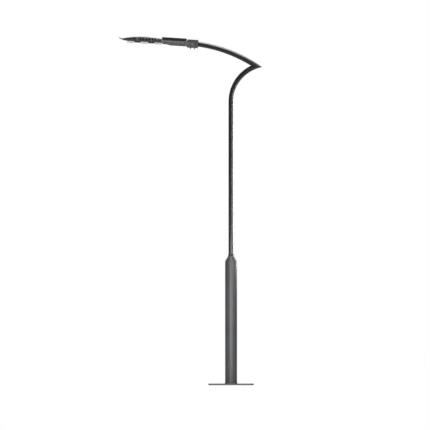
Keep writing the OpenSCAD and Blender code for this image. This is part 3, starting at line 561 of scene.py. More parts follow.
# Nodes that get rounded edges and smooth shading, with the width of the rounding in metres.
ROUNDED = {
    "base_plate": 0.0020, "heat_sink_1": 0.0007, "heat_sink_2": 0.0007, "heat_sink_3": 0.0007,
    "light_panel_1": 0.0010, "light_panel_2": 0.0010, "light_panel_3": 0.0010,
    "led_boards": 0.0003, "door_hinge_pins": 0.0005, "lid_hinge_pin": 0.0004,
    "lower_post": 0.0008, "shoulder_cone": 0.0006, "pole_tube": 0.0, "swan_neck": 0.0,
    "arm_tube": 0.0, "arm_spigot": 0.0, "door_frame": 0.0005, "access_door": 0.0006,
    "post_hinge_leaves": 0.0004, "door_hinge_leaves": 0.0004, "lock_barrel": 0.0006,
    "lock_spindle": 0.0003, "lock_strike": 0.0004, "backboard": 0.0005, "board_brackets": 0.0006,
    "fuse_box": 0.0012, "box_gland": 0.0006, "supply_terminals": 0.0006, "fuse_carrier_1": 0.0012,
    "fuse_carrier_2": 0.0012, "slip_fitter": 0.0012, "fitter_cap": 0.0015, "fitter_seal": 0.0010,
    "tilt_washers": 0.0003, "gear_housing": 0.0012, "bottom_pan": 0.0015, "gear_lid": 0.0018,
    "driver": 0.0020, "surge_protector": 0.0020, "lamp_terminals": 0.0008, "lamp_gland": 0.0006,
    "front_frame": 0.0010, "nose_cap": 0.0010, "lid_fastener_1": 0.0004, "lid_fastener_2": 0.0004,
}
SMOOTH_ANGLE = math.radians(28)


def finish_piece(piece, body, slot, *nodes):
    """Gives a piece its finish, hangs it on the body it rides on and hides the CAD nodes it stands
    for.
    """
    piece.data.materials.clear()
    piece.data.materials.append(finish_named(slot))
    if nodes:
        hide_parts(*nodes)
    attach(piece, body)
    slot in SLOT_NAMES
    return piece


def smooth_shaded(mesh, angle=SMOOTH_ANGLE):
    mesh.shade_smooth()
    mesh.set_sharp_from_angle(angle=angle)


def mesh_of(sheet, name):
    """Ends a bmesh and returns its mesh."""
    mesh = bpy.data.meshes.new(name)
    sheet.to_mesh(mesh)
    sheet.free()
    return mesh


def lofted(sheet, rings, name, space=None):
    """A closed mesh through rings of vertices, moved into a space if one is given."""
    for first, second in zip(rings, rings[1:]):
        for k in range(len(first)):
            nxt = (k + 1) % len(first)
            sheet.faces.new((first[k], first[nxt], second[nxt], second[k]))
    sheet.faces.new(rings[0])
    sheet.faces.new(rings[-1])
    bmesh.ops.recalc_face_normals(sheet, faces=sheet.faces)
    if space:
        sheet.transform(space)
    return mesh_of(sheet, name)


def merged_copy(node):
    """A CAD node's mesh with its loose triangles joined and its flat faces made whole."""
    sheet = bmesh.new()
    sheet.from_mesh(NODES[node].data)
    bmesh.ops.remove_doubles(sheet, verts=sheet.verts, dist=2e-6)
    bmesh.ops.dissolve_limit(
        sheet, angle_limit=math.radians(0.4), verts=sheet.verts, edges=sheet.edges)
    return mesh_of(sheet, node + "_finished")


def applied(piece):
    """Turns a piece's modifiers into plain mesh."""
    graph = bpy.context.evaluated_depsgraph_get()
    mesh = bpy.data.meshes.new_from_object(piece.evaluated_get(graph))
    piece.modifiers.clear()
    old = piece.data
    piece.data = mesh
    bpy.data.meshes.remove(old)
    return piece


def rounded(piece, width, segments=2, angle=38):
    """Rounds a piece's edges and weighs its normals, so that its flat faces stay flat."""
    piece.data.shade_smooth()
    bevel = piece.modifiers.new("round", "BEVEL")
    bevel.width = width
    bevel.segments = segments
    bevel.limit_method = "ANGLE"
    bevel.angle_limit = math.radians(angle)
    weigh = piece.modifiers.new("weigh", "WEIGHTED_NORMAL")
    weigh.weight = 100
    return applied(piece)


class LAMPPOST_OT_paint_frame(bpy.types.Operator):
    """Gives every carried-over node its finish"""

    bl_idname = "lamp_post.paint_frame"
    bl_label = "Paint the frame"

    def execute(self, context):
        for node, slot in SLOTS.items():
            NODES[node].data.materials.clear()
            NODES[node].data.materials.append(finish_named(slot))
        return {"FINISHED"}


# ---- recipes -------------------------------------------------------------------------


class Recipe:
    """A Geometry Nodes tree with named inputs, run once for each plain mesh it makes."""

    def __init__(self, name):
        self.tree = bpy.data.node_groups.new(name, "GeometryNodeTree")
        self.tree.interface.new_socket(
            "Geometry", in_out="OUTPUT", socket_type="NodeSocketGeometry")
        self.start = self.tree.nodes.new("NodeGroupInput")
        self.root = Value(self.tree)
        self.sockets = {}
        self.base = self.take("Geometry", "Geometry")

    def take(self, name, kind="Float"):
        """Adds a named input and returns it as a value."""
        socket = self.tree.interface.new_socket(
            name, in_out="INPUT", socket_type="NodeSocket" + kind)
        self.sockets[name] = socket.identifier
        return Value(self.tree, self.start.outputs[name])

    def end(self, geometry):
        whole = self.root.node("GeometryNodeRealizeInstances", {}, {"Geometry": geometry})
        coated = self.root.node("GeometryNodeSetMaterial", {},
                                {"Geometry": whole, "Material": self.take("Finish", "Material")})
        out = self.tree.nodes.new("NodeGroupOutput")
        self.tree.links.new(coated.socket, out.inputs[0])
        return self

    def made(self, name, base, slot, settings):
        """Runs the tree on a base mesh and leaves a plain mesh with its edges smoothed."""
        piece = new_object(name, base)
        recipe = piece.modifiers.new("recipe", "NODES")
        recipe.node_group = self.tree
        recipe[self.sockets["Finish"]] = finish_named(slot)
        for key, value in settings.items():
            recipe[self.sockets[key]] = value
        applied(piece)
        if not piece.data.polygons:
            raise RuntimeError(name + " came out empty")
        smooth_shaded(piece.data)
        return piece


def bead_recipe():
    """A weld bead along a path: a closed tube with overlapping ripples and an uneven thickness."""
    recipe = Recipe("weld_bead")
    radius = recipe.take("Radius")
    ripple = recipe.take("Ripple")
    seed = recipe.take("Seed")
    root = recipe.root
    path = root.node("GeometryNodeMeshToCurve", {}, {"Mesh": recipe.base})
    path = root.node("GeometryNodeResampleCurve", {"mode": "LENGTH"},
                     {"Curve": path, "Length": ripple / 4.0})
    along = root.node("GeometryNodeSplineParameter", output="Length")
    wave = (along * (2 * math.pi) / ripple).maths("SINE")
    grain = root.node("ShaderNodeTexNoise", {"noise_dimensions": "4D"}, {"W": seed, "Scale": 60.0})
    thickness = wave * 0.10 + grain * 0.5 + 0.75
    path = root.node("GeometryNodeSetCurveRadius", {}, {"Curve": path, "Radius": thickness})
    ring = root.node("GeometryNodeCurvePrimitiveCircle", {}, {"Resolution": 8, "Radius": radius})
    return recipe.end(root.node("GeometryNodeCurveToMesh", {},
                                {"Curve": path, "Profile Curve": ring, "Fill Caps": True}))


def wire_recipe():
    """A wire through a few points, with a slight wander from its path and closed ends."""
    recipe = Recipe("wire")
    diameter = recipe.take("Diameter")
    wander = recipe.take("Wander")
    seed = recipe.take("Seed")
    root = recipe.root
    path = root.node("GeometryNodeMeshToCurve", {}, {"Mesh": recipe.base})
    path = root.node("GeometryNodeCurveSplineType", {"spline_type": "CATMULL_ROM"}, {"Curve": path})
    path = root.node("GeometryNodeResampleCurve", {"mode": "LENGTH"},
                     {"Curve": path, "Length": 0.002})
    drift = root.node("ShaderNodeTexNoise", {"noise_dimensions": "4D"},
                      {"W": seed, "Scale": 45.0}, "Color")
    middle = root.node("ShaderNodeVectorMath", {"operation": "SUBTRACT"},
                       {0: drift, 1: (0.5, 0.5, 0.5)})
    offset = root.node("ShaderNodeVectorMath", {"operation": "SCALE"},
                       {0: middle, "Scale": wander})
    path = root.node("GeometryNodeSetPosition", {}, {"Geometry": path, "Offset": offset})
    ring = root.node("GeometryNodeCurvePrimitiveCircle", {},
                     {"Resolution": 12, "Radius": diameter / 2.0})
    return recipe.end(root.node("GeometryNodeCurveToMesh", {},
                                {"Curve": path, "Profile Curve": ring, "Fill Caps": True}))


def scatter_recipe():
    """Copies of one piece on a mesh's points, each faced as its point says and turned a little."""
    recipe = Recipe("scatter")
    piece = recipe.take("Piece", "Object")
    turn = recipe.take("Turn")
    seed = recipe.take("Seed", "Int")
    root = recipe.root
    source = root.node("GeometryNodeObjectInfo", {}, {"Object": piece}, "Geometry")
    facing = root.node("GeometryNodeInputNamedAttribute", {"data_type": "FLOAT_VECTOR"},
                       {"Name": "facing"}, "Attribute")
    toward = root.node("FunctionNodeAlignRotationToVector", {"axis": "Z"}, {"Vector": facing})
    angle = root.node("FunctionNodeRandomValue", {"data_type": "FLOAT"}, {3: turn, "Seed": seed}, 1)
    spin = root.node("FunctionNodeAxisAngleToRotation", {}, {"Axis": (0, 0, 1), "Angle": angle})
    whole = root.node("FunctionNodeRotateRotation", {"rotation_space": "LOCAL"},
                      {"Rotation": toward, "Rotate By": spin})
    return recipe.end(root.node("GeometryNodeInstanceOnPoints", {},
                                {"Points": recipe.base, "Instance": source, "Rotation": whole}))


RECIPES = {}


def recipe_named(maker):
    if maker not in RECIPES:
        RECIPES[maker] = maker()
    return RECIPES[maker]


def path_mesh(name, points, closed=False):
    """A mesh of edges through the given points."""
    count = len(points)
    edges = [(k, (k + 1) % count) for k in range(count if closed else count - 1)]
    mesh = bpy.data.meshes.new(name)
    mesh.from_pydata([tuple(point) for point in points], edges, [])
    return mesh


def scattered(name, template, places, slot, seed, turn=2 * math.pi):
    """One mesh of copies of the template at (point, facing) pairs."""
    mesh = bpy.data.meshes.new(name)
    mesh.from_pydata([tuple(point) for point, facing in places], [], [])
    mesh.attributes.new("facing", "FLOAT_VECTOR", "POINT")
    for index, (point, facing) in enumerate(places):
        mesh.attributes["facing"].data[index].vector = facing
    source = new_object(name + "_template", template)
    piece = recipe_named(scatter_recipe).made(
        name, mesh, slot, {"Piece": source, "Turn": turn, "Seed": seed})
    bpy.data.objects.remove(source)
    return piece


# ---- shape helpers ---------------------------------------------------------------------

MM = 0.001
WORLD = Matrix.Identity(4)


def box_mm(node):
    """Low and high corner of a CAD node, in millimetres."""
    return [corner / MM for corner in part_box(node)]


def lamp_box_mm(node):
    """The same in the luminaire's own frame."""
    return [corner / MM for corner in lamp_box(node)]


def turned(name, levels, sides=36):
    """A closed part about +Z, in millimetres, from (height, radius, corners) levels.

    A level with corners is a polygon of that many corners at that radius, else it is round."""
    sheet = bmesh.new()
    rings = []
    for height, radius, corners in levels:
        ring = []
        for step in range(sides):
            angle = 2 * math.pi * step / sides
            reach = radius
            if corners:
                half = math.pi / corners
                reach = radius * math.cos(half) / math.cos(angle % (2 * half) - half)
            ring.append(sheet.verts.new((reach * math.cos(angle) * MM, reach * math.sin(angle) * MM,
                                         height * MM)))
        rings.append(ring)
    return lofted(sheet, rings, name)


def thread(low, high, radius, pitch):
    """Levels of a thread between two heights."""
    depth = 0.6 * pitch
    count = max(1, int((high - low) / pitch))
    levels = []
    for turn in range(count):
        foot = low + turn * pitch
        levels += [(foot, radius - depth, 0), (foot + 0.4 * pitch, radius, 0),
                   (foot + 0.6 * pitch, radius, 0)]
    return levels + [(low + count * pitch, radius - depth, 0)]


def screw(length, radius, head_r, head_h, drive_r, drive_corners=6, head_corners=0, pitch=1.0):
    """Levels of a screw with its head's top at height 0, its shank below and its drive sunk in."""
    edge = 0.16 * head_h
    face = 0.93 * head_r * (math.cos(math.pi / head_corners) if head_corners else 1)
    drive_h = 0.55 * head_h
    head = [(-head_h, head_r - edge, head_corners), (edge - head_h, head_r, head_corners),
            (-2 * edge, head_r, head_corners), (-edge / 2, face + edge / 2, 0), (0, face, 0)]
    if drive_r:
        head += [(0, drive_r + 0.15, drive_corners), (-0.15, drive_r, drive_corners),
                 (-drive_h, drive_r, drive_corners), (-drive_h, 0.3 * drive_r, drive_corners)]
    foot = [(-length, 0.7 * radius, 0)]
    return foot + thread(0.4 - length, -head_h, radius, pitch) + head


def islands(node, space):
    """Low and high corner, in millimetres, of each separate solid of a CAD node in a space."""
    sheet = bmesh.new()
    sheet.from_mesh(NODES[node].data)
    bmesh.ops.remove_doubles(sheet, verts=sheet.verts, dist=2e-6)
    sheet.transform(space.inverted())
    found, seen = [], set()
    for start in sheet.verts:
        if start in seen:
            continue
        seen.add(start)
        heap, members = [start], []
        while heap:
            vertex = heap.pop()
            members.append(vertex.co.copy())
            for edge in vertex.link_edges:
                other = edge.other_vert(vertex)
                if other not in seen:
                    seen.add(other)
                    heap.append(other)
        low = Vector([min(m[i] for m in members) for i in range(3)]) / MM
        high = Vector([max(m[i] for m in members) for i in range(3)]) / MM
        found.append((low, high))
    sheet.free()
    return sorted(found, key=lambda box: tuple(round(x, 2) for x in box[0]))


def in_space(space, point):
    """A point in millimetres in a space, as a point of the shared frame."""
    return space @ (Vector(point) * MM)


def slab(name, low, high, space=None, width=0.4):
    """A rounded box, in millimetres in a space."""
    sheet = bmesh.new()
    bmesh.ops.create_cube(sheet, size=1.0)
    low, high = Vector(low), Vector(high)
    for vertex in sheet.verts:
        vertex.co = [(low[i] + high[i]) / 2 + vertex.co[i] * (high[i] - low[i]) for i in range(3)]
    bmesh.ops.bevel(sheet, geom=list(sheet.edges), offset=width, segments=2, profile=0.5,
                    affect="EDGES")
    sheet.transform((space or WORLD) @ Matrix.Scale(MM, 4))
    return mesh_of(sheet, name)


def joined(name, meshes):
    """One object holding all the given meshes."""
    sheet = bmesh.new()
    for mesh in meshes:
        sheet.from_mesh(mesh)
    whole = mesh_of(sheet, name)
    smooth_shaded(whole)
    return new_object(name, whole)


# Screws that stand for a CAD node: space, facing axis (zero for outward along Y), and, in
# millimetres, head height, shank radius, drive radius, drive corners, head corners, pitch.
SCREWS = {
    "board_screws": (WORLD, (0, 1, 0), 3.0, 3.0, 2.6, 6, 0, 1.0),
    "terminal_screws": (WORLD, (0, 1, 0), 1.6, 2.0, 1.3, 4, 0, 0.7),
    "cap_screws": (LAMP, (0, 0, 1), 2.0, 2.5, 1.7, 6, 0, 0.8),
    "pan_screws": (LAMP, (0, 0, -1), 2.5, 2.0, 1.9, 6, 0, 0.7),
    "panel_screws": (LAMP, (0, 0, -1), 1.5, 1.5, 1.2, 4, 0, 0.6),
    "driver_screws": (LAMP, (0, 0, 1), 2.2, 3.2, 2.0, 4, 0, 0.8),
    "tilt_bolts": (LAMP, (0, 0, 0), 6.4, 5.0, 0.0, 0, 6, 1.5),
}


class LAMPPOST_OT_screws(bpy.types.Operator):
    """Makes the screws and bolts with threads and drives"""

    bl_idname = "lamp_post.screws"
    bl_label = "Screws"

    def execute(self, context):
        for seed, (node, row) in enumerate(SCREWS.items()):
            space, axis, head_h, shank_r, drive_r, drive_corners, corners, pitch = row
            axis = Vector(axis)
            boxes = islands(node, space)
            places = []
            for low, high in boxes:
                middle = (low + high) / 2
                outward = axis if axis.length else Vector((0, math.copysign(1, middle.y), 0))
                half = abs((high - low).dot(outward)) / 2
                places.append((in_space(space, middle + outward * half),
                               space.to_3x3() @ outward))
            size = boxes[0][1] - boxes[0][0]
            across = min(size)
            length = abs(size.dot(axis)) if axis.length else size.y
            head_r = max(across, min(size.x, size.z if not axis.z else size.y)) / 2
            levels = screw(length, shank_r, head_r, head_h, drive_r, drive_corners, corners, pitch)
            template = turned(node + "_template", levels)
            piece = scattered(node + "_finished", template, places, SLOTS[node], seed + 11)
            finish_piece(piece, HOSTS[node], SLOTS[node], node)
        make_clamp_bolts()
        make_earth_stud()
        return {"FINISHED"}


def make_clamp_bolts():
    """Set screws with a hexagon socket at the lower end, each with a lock nut."""
    parts = []
    for low, high in islands("clamp_bolts", LAMP):
        nut_r = (high.y - low.y) / 2
        length = high.z - low.z - 1
        levels = [(4.0, 2.4, 6), (0.4, 2.4, 6), (0, 2.9, 6), (0, 4.2, 0)]
        levels += thread(0.5, length - 2, 5.0, 1.5) + [(length, 3.6, 0)]
        nut_low, nut_high = 8.0, 15.0
        nut = [(nut_high, 5.1, 0), (nut_low + 0.6, 5.1, 0), (nut_low, 5.6, 0),
               (nut_low, nut_r * 0.86, 0), (nut_low + 0.8, nut_r, 6), (nut_high - 0.8, nut_r, 6),
               (nut_high, nut_r * 0.86, 0)]
        middle = (low + high) / 2
        place = LAMP @ Matrix.Translation(Vector((middle.x, middle.y, low.z)) * MM)
        for made in (turned("set_screw", levels), ring_part("lock_nut", nut)):
            made.transform(place)
            parts.append(made)
    finish_piece(joined("clamp_bolts_finished", parts), HOSTS["clamp_bolts"],
                 SLOTS["clamp_bolts"], "clamp_bolts")


def ring_part(name, levels, sides=36):
    """A closed ring about +Z: as turned, but its last level joins its first."""
    mesh = turned(name, levels, sides)
    sheet = bmesh.new()
    sheet.from_mesh(mesh)
    caps = [face for face in sheet.faces if len(face.verts) == sides]
    first, last = [sorted(face.verts, key=lambda v: v.index) for face in caps]
    bmesh.ops.delete(sheet, geom=caps, context="FACES_ONLY")
    for k in range(sides):
        nxt = (k + 1) % sides
        sheet.faces.new((first[k], first[nxt], last[nxt], last[k]))
    bmesh.ops.recalc_face_normals(sheet, faces=sheet.faces)
    sheet.to_mesh(mesh)
    sheet.free()
    return mesh


def make_earth_stud():
    """Threaded brass stud with a nut and a ring tag for the earth wire."""
    low, high = islands("earth_stud", WORLD)[0]
    middle = (low + high) / 2
    facing = Matrix.Rotation(-math.pi / 2, 4, "X")
    place = Matrix.Translation(Vector((middle.x, low.y, middle.z)) * MM) @ facing
    length = high.y - low.y
    stud = turned("stud", [(0, 4.0, 0)] + thread(1, length - 1, 4.0, 1.25) + [(length, 3.0, 0)])
    nut_low, nut_high = islands("earth_nut", WORLD)[0]
    nut_h = nut_high.y - nut_low.y
    nut_r = (nut_high.x - nut_low.x) / 2
    nut = ring_part("nut", [(0, 4.05, 0), (0, nut_r * 0.86, 0), (0.7, nut_r, 6),
                            (nut_h - 0.7, nut_r, 6), (nut_h, nut_r * 0.86, 0), (nut_h, 4.6, 0),
                            (nut_h - 0.5, 4.05, 0)])
    tag = ring_part("tag", [(nut_h, 4.05, 0), (nut_h, 7.6, 0), (nut_h + 1.2, 7.6, 0),
                            (nut_h + 1.2, 4.05, 0)])
    for made, node, slot in ((stud, "earth_stud", "brass_part"), (nut, "earth_nut", "stainless"),
                             (tag, None, "stainless")):
        made.transform(place)
        piece = joined(made.name + "_on_earth", [made])
        finish_piece(piece, "post", slot, *([node] if node else []))


# ---- welds -----------------------------------------------------------------------------


def ring_path(radius, height, steps=96):
    return [(radius * math.cos(2 * math.pi * k / steps), radius * math.sin(2 * math.pi * k / steps),
             height) for k in range(steps)]


def mitre_path():
    """The outline of the cut where the neck meets the arm, from the neck's own cut face."""
    mesh = NODES["swan_neck"].data
    tip = max((vertex.co for vertex in mesh.vertices), key=lambda co: co.x)
    flat = 1e-4
    cut = None
    for face in mesh.polygons:
        corners = [mesh.vertices[k].co for k in face.vertices]
        touches = min((corner - tip).length for corner in corners) < flat
        if touches and abs(face.normal.y) < flat and face.area > 1e-9:
            on_cut = [v.co for v in mesh.vertices if abs((v.co - tip).dot(face.normal)) < flat / 4]
            if cut is None or len(on_cut) > len(cut):
                cut = on_cut
                along = face.normal.cross(Vector((0, 1, 0))).normalized()
    outline = convex_hull_2d([((co - tip).dot(along), co.y) for co in cut])
    return [cut[k] for k in outline]


class LAMPPOST_OT_welds(bpy.types.Operator):
    """Lays the weld beads of the column and the arm, and the black seal at the tube's foot, which
    also stands in for the contact shadow there
    """

    bl_idname = "lamp_post.welds"
    bl_label = "Welds"

    def execute(self, context):
        post_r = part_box("lower_post")[1].x
        tube_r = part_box("pole_tube")[1].x
        plate_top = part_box("base_plate")[1].z
        post_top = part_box("lower_post")[1].z
        cone_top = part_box("shoulder_cone")[1].z
        big = sizes().weld_radius
        small = 0.4 * big
        beads = (
            ("foot_weld", ring_path(post_r + 0.2 * big, plate_top + 0.2 * big), big, "post_paint"),
            ("shoulder_weld", ring_path(post_r - 0.3 * small, post_top), small, "post_paint"),
            ("mitre_weld", mitre_path(), small, "tube_paint"),
        )
        for seed, (name, points, radius, slot) in enumerate(beads):
            piece = recipe_named(bead_recipe).made(
                name, path_mesh(name, points, closed=True), slot,
                {"Radius": radius, "Ripple": sizes().weld_ripple, "Seed": 3.0 + seed})
            finish_piece(piece, "post", slot)
        # The black rubber collar at the tube's foot is partly a seal and partly painted shadow: a
        # dark ring put where the contact shadow falls.
        bore = tube_r / MM
        collar = ring_part("collar_seal", [(0, bore, 0), (0, bore + 4.6, 0), (7, bore + 4.2, 0),
                                           (13, bore + 1.6, 0), (14, bore, 0)], sides=72)
        collar.transform(Matrix.Translation((0, 0, cone_top)))
        finish_piece(joined("collar_seal", [collar]), "post", "rubber_black")
        return {"FINISHED"}


# ---- castings --------------------------------------------------------------------------


def outline_half_width(node, level):
    """Half width of a luminaire node at stations along it, from its own corners near a level."""
    found = {}
    for vertex in NODES[node].data.vertices:
        place = (LAMP.inverted() @ vertex.co) / MM
        if abs(place.z - level) < 0.5:
            station = round(place.x, 1)
            found[station] = max(found.get(station, 0), abs(place.y))
    return sorted(found.items())


def reach_at(outline, station):
    """Half width between two stations of an outline."""
    for (u0, v0), (u1, v1) in zip(outline, outline[1:]):
        if u0 <= station <= u1:
            return v0 + (v1 - v0) * (station - u0) / (u1 - u0)
    raise RuntimeError("the outline has no station at %.1f" % station)


def side_band(name, side, rows, proud, depth, lean=None):
    """A closed raised band on a side wall: rows of (u, half width, low w, high w).

    It stands proud at its foot, and by lean at its top, or by the same."""
    lean = proud if lean is None else lean
    sheet = bmesh.new()
    rings = []
    for u, reach, low, high in rows:
        edge = min(0.8, (high - low) / 4)
        section = ((reach - depth, low), (reach + proud - edge / 2, low),
                   (reach + proud, low + edge), (reach + lean, high - edge),
                   (reach + lean - edge / 2, high), (reach - depth, high))
        rings.append([sheet.verts.new((u, side * v, w)) for v, w in section])
    return lofted(sheet, rings, name, LAMP @ Matrix.Scale(MM, 4))


class LAMPPOST_OT_casting_relief(bpy.types.Operator):
    """Adds the raised bands and ribs on the sides of the gear housing and the fitter"""

    bl_idname = "lamp_post.casting_relief"
    bl_label = "Casting relief"

    def execute(self, context):
        rim_level = 24.0
        outline = outline_half_width("gear_housing", rim_level)
        front, rear = outline[0][0], outline[-1][0]
        inset, steps = 3, 40
        foot, fall, band_top = 11.0, 19.0, 20.5
        lip_level = (-21.0, -18.8)
        bands = []
        for side in (-1, 1):
            rows = []
            for k in range(steps + 1):
                share = k / steps
                u = front + inset + (rear - front - 2 * inset) * share
                rows.append((u, reach_at(outline, u), foot - fall * share ** 0.8, band_top))
            bands.append(side_band("band", side, rows, 4.5, 0.8, lean=0.6))
            lip = [(u, reach, *lip_level) for u, reach, *_ in rows]
            bands.append(side_band("lip", side, lip, 1.0, 0.8))
        finish_piece(joined("housing_side_bands", bands), "luminaire", "cast_grey")
        # Slanted ribs behind the tilt lug, and one level rib along the fitter's foot.
        wall = 44.0
        rib_start, rib_end = 19.5, 31.5
        rib_h, rise, pitch = 2.5, 7.0, 11.0
        fitter_front, fitter_rear = -48.0, 57.0
        level = (-36.0, -33.0)
        ribs = []
        for side in (-1, 1):
            for k in range(4):
                foot = -24.0 + pitch * k
                rows = [(rib_start, wall, foot, foot + rib_h),
                        (rib_end, wall, foot + rise, foot + rise + rib_h)]
                ribs.append(side_band("rib", side, rows, 1.3, 0.6))
            rows = [(fitter_front, wall, *level), (fitter_rear, wall, *level)]
            ribs.append(side_band("foot_rib", side, rows, 1.6, 0.6))
        finish_piece(joined("fitter_side_ribs", ribs), "post", "cast_grey")
        return {"FINISHED"}


# ---- wiring ----------------------------------------------------------------------------


def wire(name, points, slot, body, seed, diameter=None, wander=0.002, space=WORLD):
    places = [in_space(space, point) for point in points]
    piece = recipe_named(wire_recipe).made(
        name, path_mesh(name, places), slot,
        {"Diameter": diameter or sizes().wire_diameter, "Wander": wander, "Seed": float(seed)})
    return finish_piece(piece, body, slot)


class LAMPPOST_OT_wiring(bpy.types.Operator):
    """Runs the single wires inside the post and inside the gear housing"""

    bl_idname = "lamp_post.wiring"
    bl_label = "Wiring"

    def execute(self, context):
        colours = ("wire_brown", "cable_black", "wire_blue", "wire_earth")
        low, high = box_mm("supply_terminals")
        box_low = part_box("fuse_box")[0] / MM
        screws = islands("terminal_screws", WORLD)
        for index, (slot, (first, last)) in enumerate(zip(colours, screws)):
            x = (first.x + last.x) / 2
            y = low.y + 8
            wire("tail_%d" % index,
                 [(x, y, high.z - 4), (x, y, high.z + 1.5), (x + 1, y + 1, box_low.z - 1.5),
                  (x + 1, y + 1, box_low.z + 2)], slot, "post", index, wander=0.0004)
        stud_low, stud_high = islands("earth_stud", WORLD)[0]
        middle = (stud_low + stud_high) / 2
        tag_y = stud_low.y + 7.2
        wire("earth_wire",
             [(middle.x + 4, tag_y, middle.z + 4), (middle.x + 6, tag_y + 4, middle.z + 14),
              (middle.x + 5, tag_y + 7, middle.z + 26), (middle.x, tag_y + 5, box_low.z - 2),
              (middle.x, tag_y + 5, box_low.z + 2)], "wire_earth", "post", 9, wander=0.0006)
        self.wire_luminaire(colours)
        return {"FINISHED"}

    def wire_luminaire(self, colours):
        block_low = lamp_box_mm("lamp_terminals")[0]
        case_low = lamp_box_mm("driver")[0]
        surge_high = lamp_box_mm("surge_protector")[1]
        split = lamp_box("gear_housing")[0].x / MM
        for index in range(3):
            v = -12.0 + 9.0 * index
            wire("driver_lead_%d" % index,
                 [(block_low.x + 2, v, 0), (block_low.x - 2, v, 2), (-141.0, v, -2),
                  (-144.0, v, -6)], colours[index], "luminaire", 20 + index, 0.0022, 0.0004, LAMP)
        for index in range(2):
            v = -9.0 - 6.0 * index
            wire("led_lead_%d" % index,
                 [(case_low.x + 12, v, -10), (-302.0, v, -8), (-322.0, v + 3, -4),
                  (split + 7, v + 4, -6), (split + 2, v + 4, -6)],
                 ("wire_brown", "wire_blue")[index], "luminaire", 30 + index, 0.0024, 0.0008, LAMP)
        for index in range(3):
            w = surge_high.z - 6.0 - 5 * index
            wire("surge_lead_%d" % index,
                 [(surge_high.x - 2, 46 + 2 * index, w), (surge_high.x + 12, 46, w - 1),
                  (-190.0, 43 - 2 * index, -7 - 2 * index), (-160.0, 38, -8), (-136.0, 26, -2),
                  (-116.0, 22.5, -1 - 3 * index), (-113.0, 20, -1 - 3 * index)],
                 colours[index if index < 2 else 3], "luminaire", 40 + index, 0.0022, 0.0012, LAMP)


# ---- fittings --------------------------------------------------------------------------


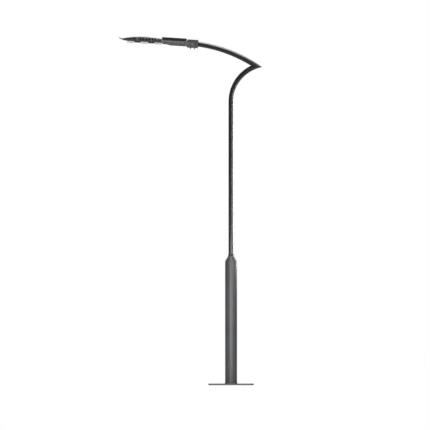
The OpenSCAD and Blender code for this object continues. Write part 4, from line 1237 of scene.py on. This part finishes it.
class LAMPPOST_OT_equipment(bpy.types.Operator):
    """Adds the grips, ribs, cover screws and clamps of the electrical equipment"""

    bl_idname = "lamp_post.equipment"
    bl_label = "Equipment"

    def execute(self, context):
        self.dress_fuse_box()
        self.dress_terminals()
        self.dress_driver()
        return {"FINISHED"}

    def dress_fuse_box(self):
        low, high = box_mm("fuse_box")
        front = high.y
        places = [(in_space(WORLD, (x, front + 1.6, z)), (0, 1, 0))
                  for x in (low.x + 6, high.x - 6) for z in (low.z + 8, high.z - 8)]
        levels = screw(5.0, 1.5, 2.6, 1.6, 1.5, 4, 0, 0.6)
        piece = scattered("box_cover_screws", turned("cover_screw", levels), places,
                          "stainless", 71)
        finish_piece(piece, "post", "stainless")
        louvres_low, louvres_high = 570, 680
        rim = [slab("rim", (low.x + 1, front - 0.6, z), (high.x - 1, front + 0.9, z + 1.6))
               for z in (low.z + 14, high.z - 16)]
        rim += [slab("louvre", (6, front - 0.6, z), (27, front + 1.0, z + 1.8))
                for z in range(louvres_low, louvres_high, 7)]
        finish_piece(joined("box_cover_ribs", rim), "post", "plastic_dark")
        for index, node in enumerate(("fuse_carrier_1", "fuse_carrier_2")):
            low, high = box_mm(node)
            face = high.y - 8
            parts = [slab("grip", (low.x + 6.5, face + 1.0, low.z + 10 + 4 * k),
                          (low.x + 15.5, face + 7.4, low.z + 11.4 + 4 * k)) for k in range(7)]
            for foot, top in ((high.z - 6.4, high.z - 1.6), (low.z + 1.6, low.z + 6.4)):
                parts.append(slab("plate", (low.x + 1.6, face - 0.5, foot),
                                  (high.x - 1.6, face + 0.6, top)))
            finish_piece(joined("carrier_grip_%d" % (index + 1), parts), HOSTS[node],
                         "plastic_ivory")

    def dress_terminals(self):
        low, high = box_mm("supply_terminals")
        screws = islands("terminal_screws", WORLD)
        walls = []
        for (_, last), (after, _) in zip(screws, screws[1:]):
            x = (last.x + after.x) / 2
            walls.append(slab("barrier", (x - 0.7, high.y - 0.6, low.z + 1),
                              (x + 0.7, high.y + 2.2, high.z - 1)))
        finish_piece(joined("supply_barriers", walls), "post", "plastic_ivory")
        low, high = lamp_box_mm("lamp_terminals")
        walls, places = [], []
        poles = 4
        pitch = (high.y - low.y) / poles
        for k in range(poles + 1):
            v = min(max(low.y + k * pitch, low.y + 0.8), high.y - 0.8)
            walls.append(slab("barrier", (low.x + 1, v - 0.7, high.z - 0.6),
                              (high.x - 1, v + 0.7, high.z + 2.4), LAMP))
        for k in range(poles):
            for u in (low.x + 8, high.x - 8):
                places.append((in_space(LAMP, (u, low.y + (k + 0.5) * pitch, high.z + 1.0)),
                               LAMP_UP))
        finish_piece(joined("lamp_barriers", walls), "luminaire", "plastic_ivory")
        levels = screw(4.0, 1.6, 2.6, 1.6, 1.6, 4, 0, 0.6)
        piece = scattered("lamp_terminal_screws", turned("clamp_screw", levels), places,
                          "brass_part", 83)
        finish_piece(piece, "luminaire", "brass_part")

    def dress_driver(self):
        low, high = lamp_box_mm("driver")
        parts = [slab("cap", (u, low.y + 1, high.z - 9), (u + 14, 30, high.z + 1.2), LAMP, 1.0)
                 for u in (low.x + 10, high.x - 24)]
        parts += [slab("rib", (u, -29.5, high.z - 0.6), (u + 3.5, 29.5, high.z + 0.9), LAMP)
                  for u in range(-262, -178, 9)]
        finish_piece(joined("driver_case_ribs", parts), "luminaire", "driver_case")


class LAMPPOST_OT_rounded_parts(bpy.types.Operator):
    """Makes the castings, tubes and mouldings with rounded edges"""

    bl_idname = "lamp_post.rounded_parts"
    bl_label = "Rounded parts"

    def execute(self, context):
        for node, width in ROUNDED.items():
            piece = new_object(node + "_finished", merged_copy(node))
            if width:
                rounded(piece, width)
            else:
                smooth_shaded(piece.data)
            finish_piece(piece, HOSTS[node], SLOTS[node], node)
        return {"FINISHED"}


class LAMPPOST_PT_panel(bpy.types.Panel):
    """Lists the lamp post's operators and properties"""

    bl_label = "Lamp Post"
    bl_space_type = "VIEW_3D"
    bl_region_type = "UI"
    bl_category = "Lamp Post"

    def draw(self, context):
        for operator in OPERATORS:
            self.layout.operator(operator.bl_idname)
        for group in (context.scene.lamp_post_paint, context.scene.lamp_post_sizes):
            for name in group.bl_rna.properties.keys():
                if name not in ("rna_type", "name"):
                    self.layout.prop(group, name)


OPERATORS = (
    LAMPPOST_OT_stage, LAMPPOST_OT_paint_frame, LAMPPOST_OT_rounded_parts, LAMPPOST_OT_screws,
    LAMPPOST_OT_welds, LAMPPOST_OT_casting_relief, LAMPPOST_OT_wiring, LAMPPOST_OT_equipment)
CLASSES = (LampPostPaint, LampPostSizes, *OPERATORS, LAMPPOST_PT_panel)


def register():
    for cls in CLASSES:
        bpy.utils.register_class(cls)
    bpy.types.Scene.lamp_post_paint = PointerProperty(type=LampPostPaint)
    bpy.types.Scene.lamp_post_sizes = PointerProperty(type=LampPostSizes)


def unregister():
    del bpy.types.Scene.lamp_post_paint
    del bpy.types.Scene.lamp_post_sizes
    for cls in reversed(CLASSES):
        bpy.utils.unregister_class(cls)


def main():
    register()
    for operator in OPERATORS:
        group, name = operator.bl_idname.split(".")
        getattr(getattr(bpy.ops, group), name)()


if __name__ == "__main__":
    main()
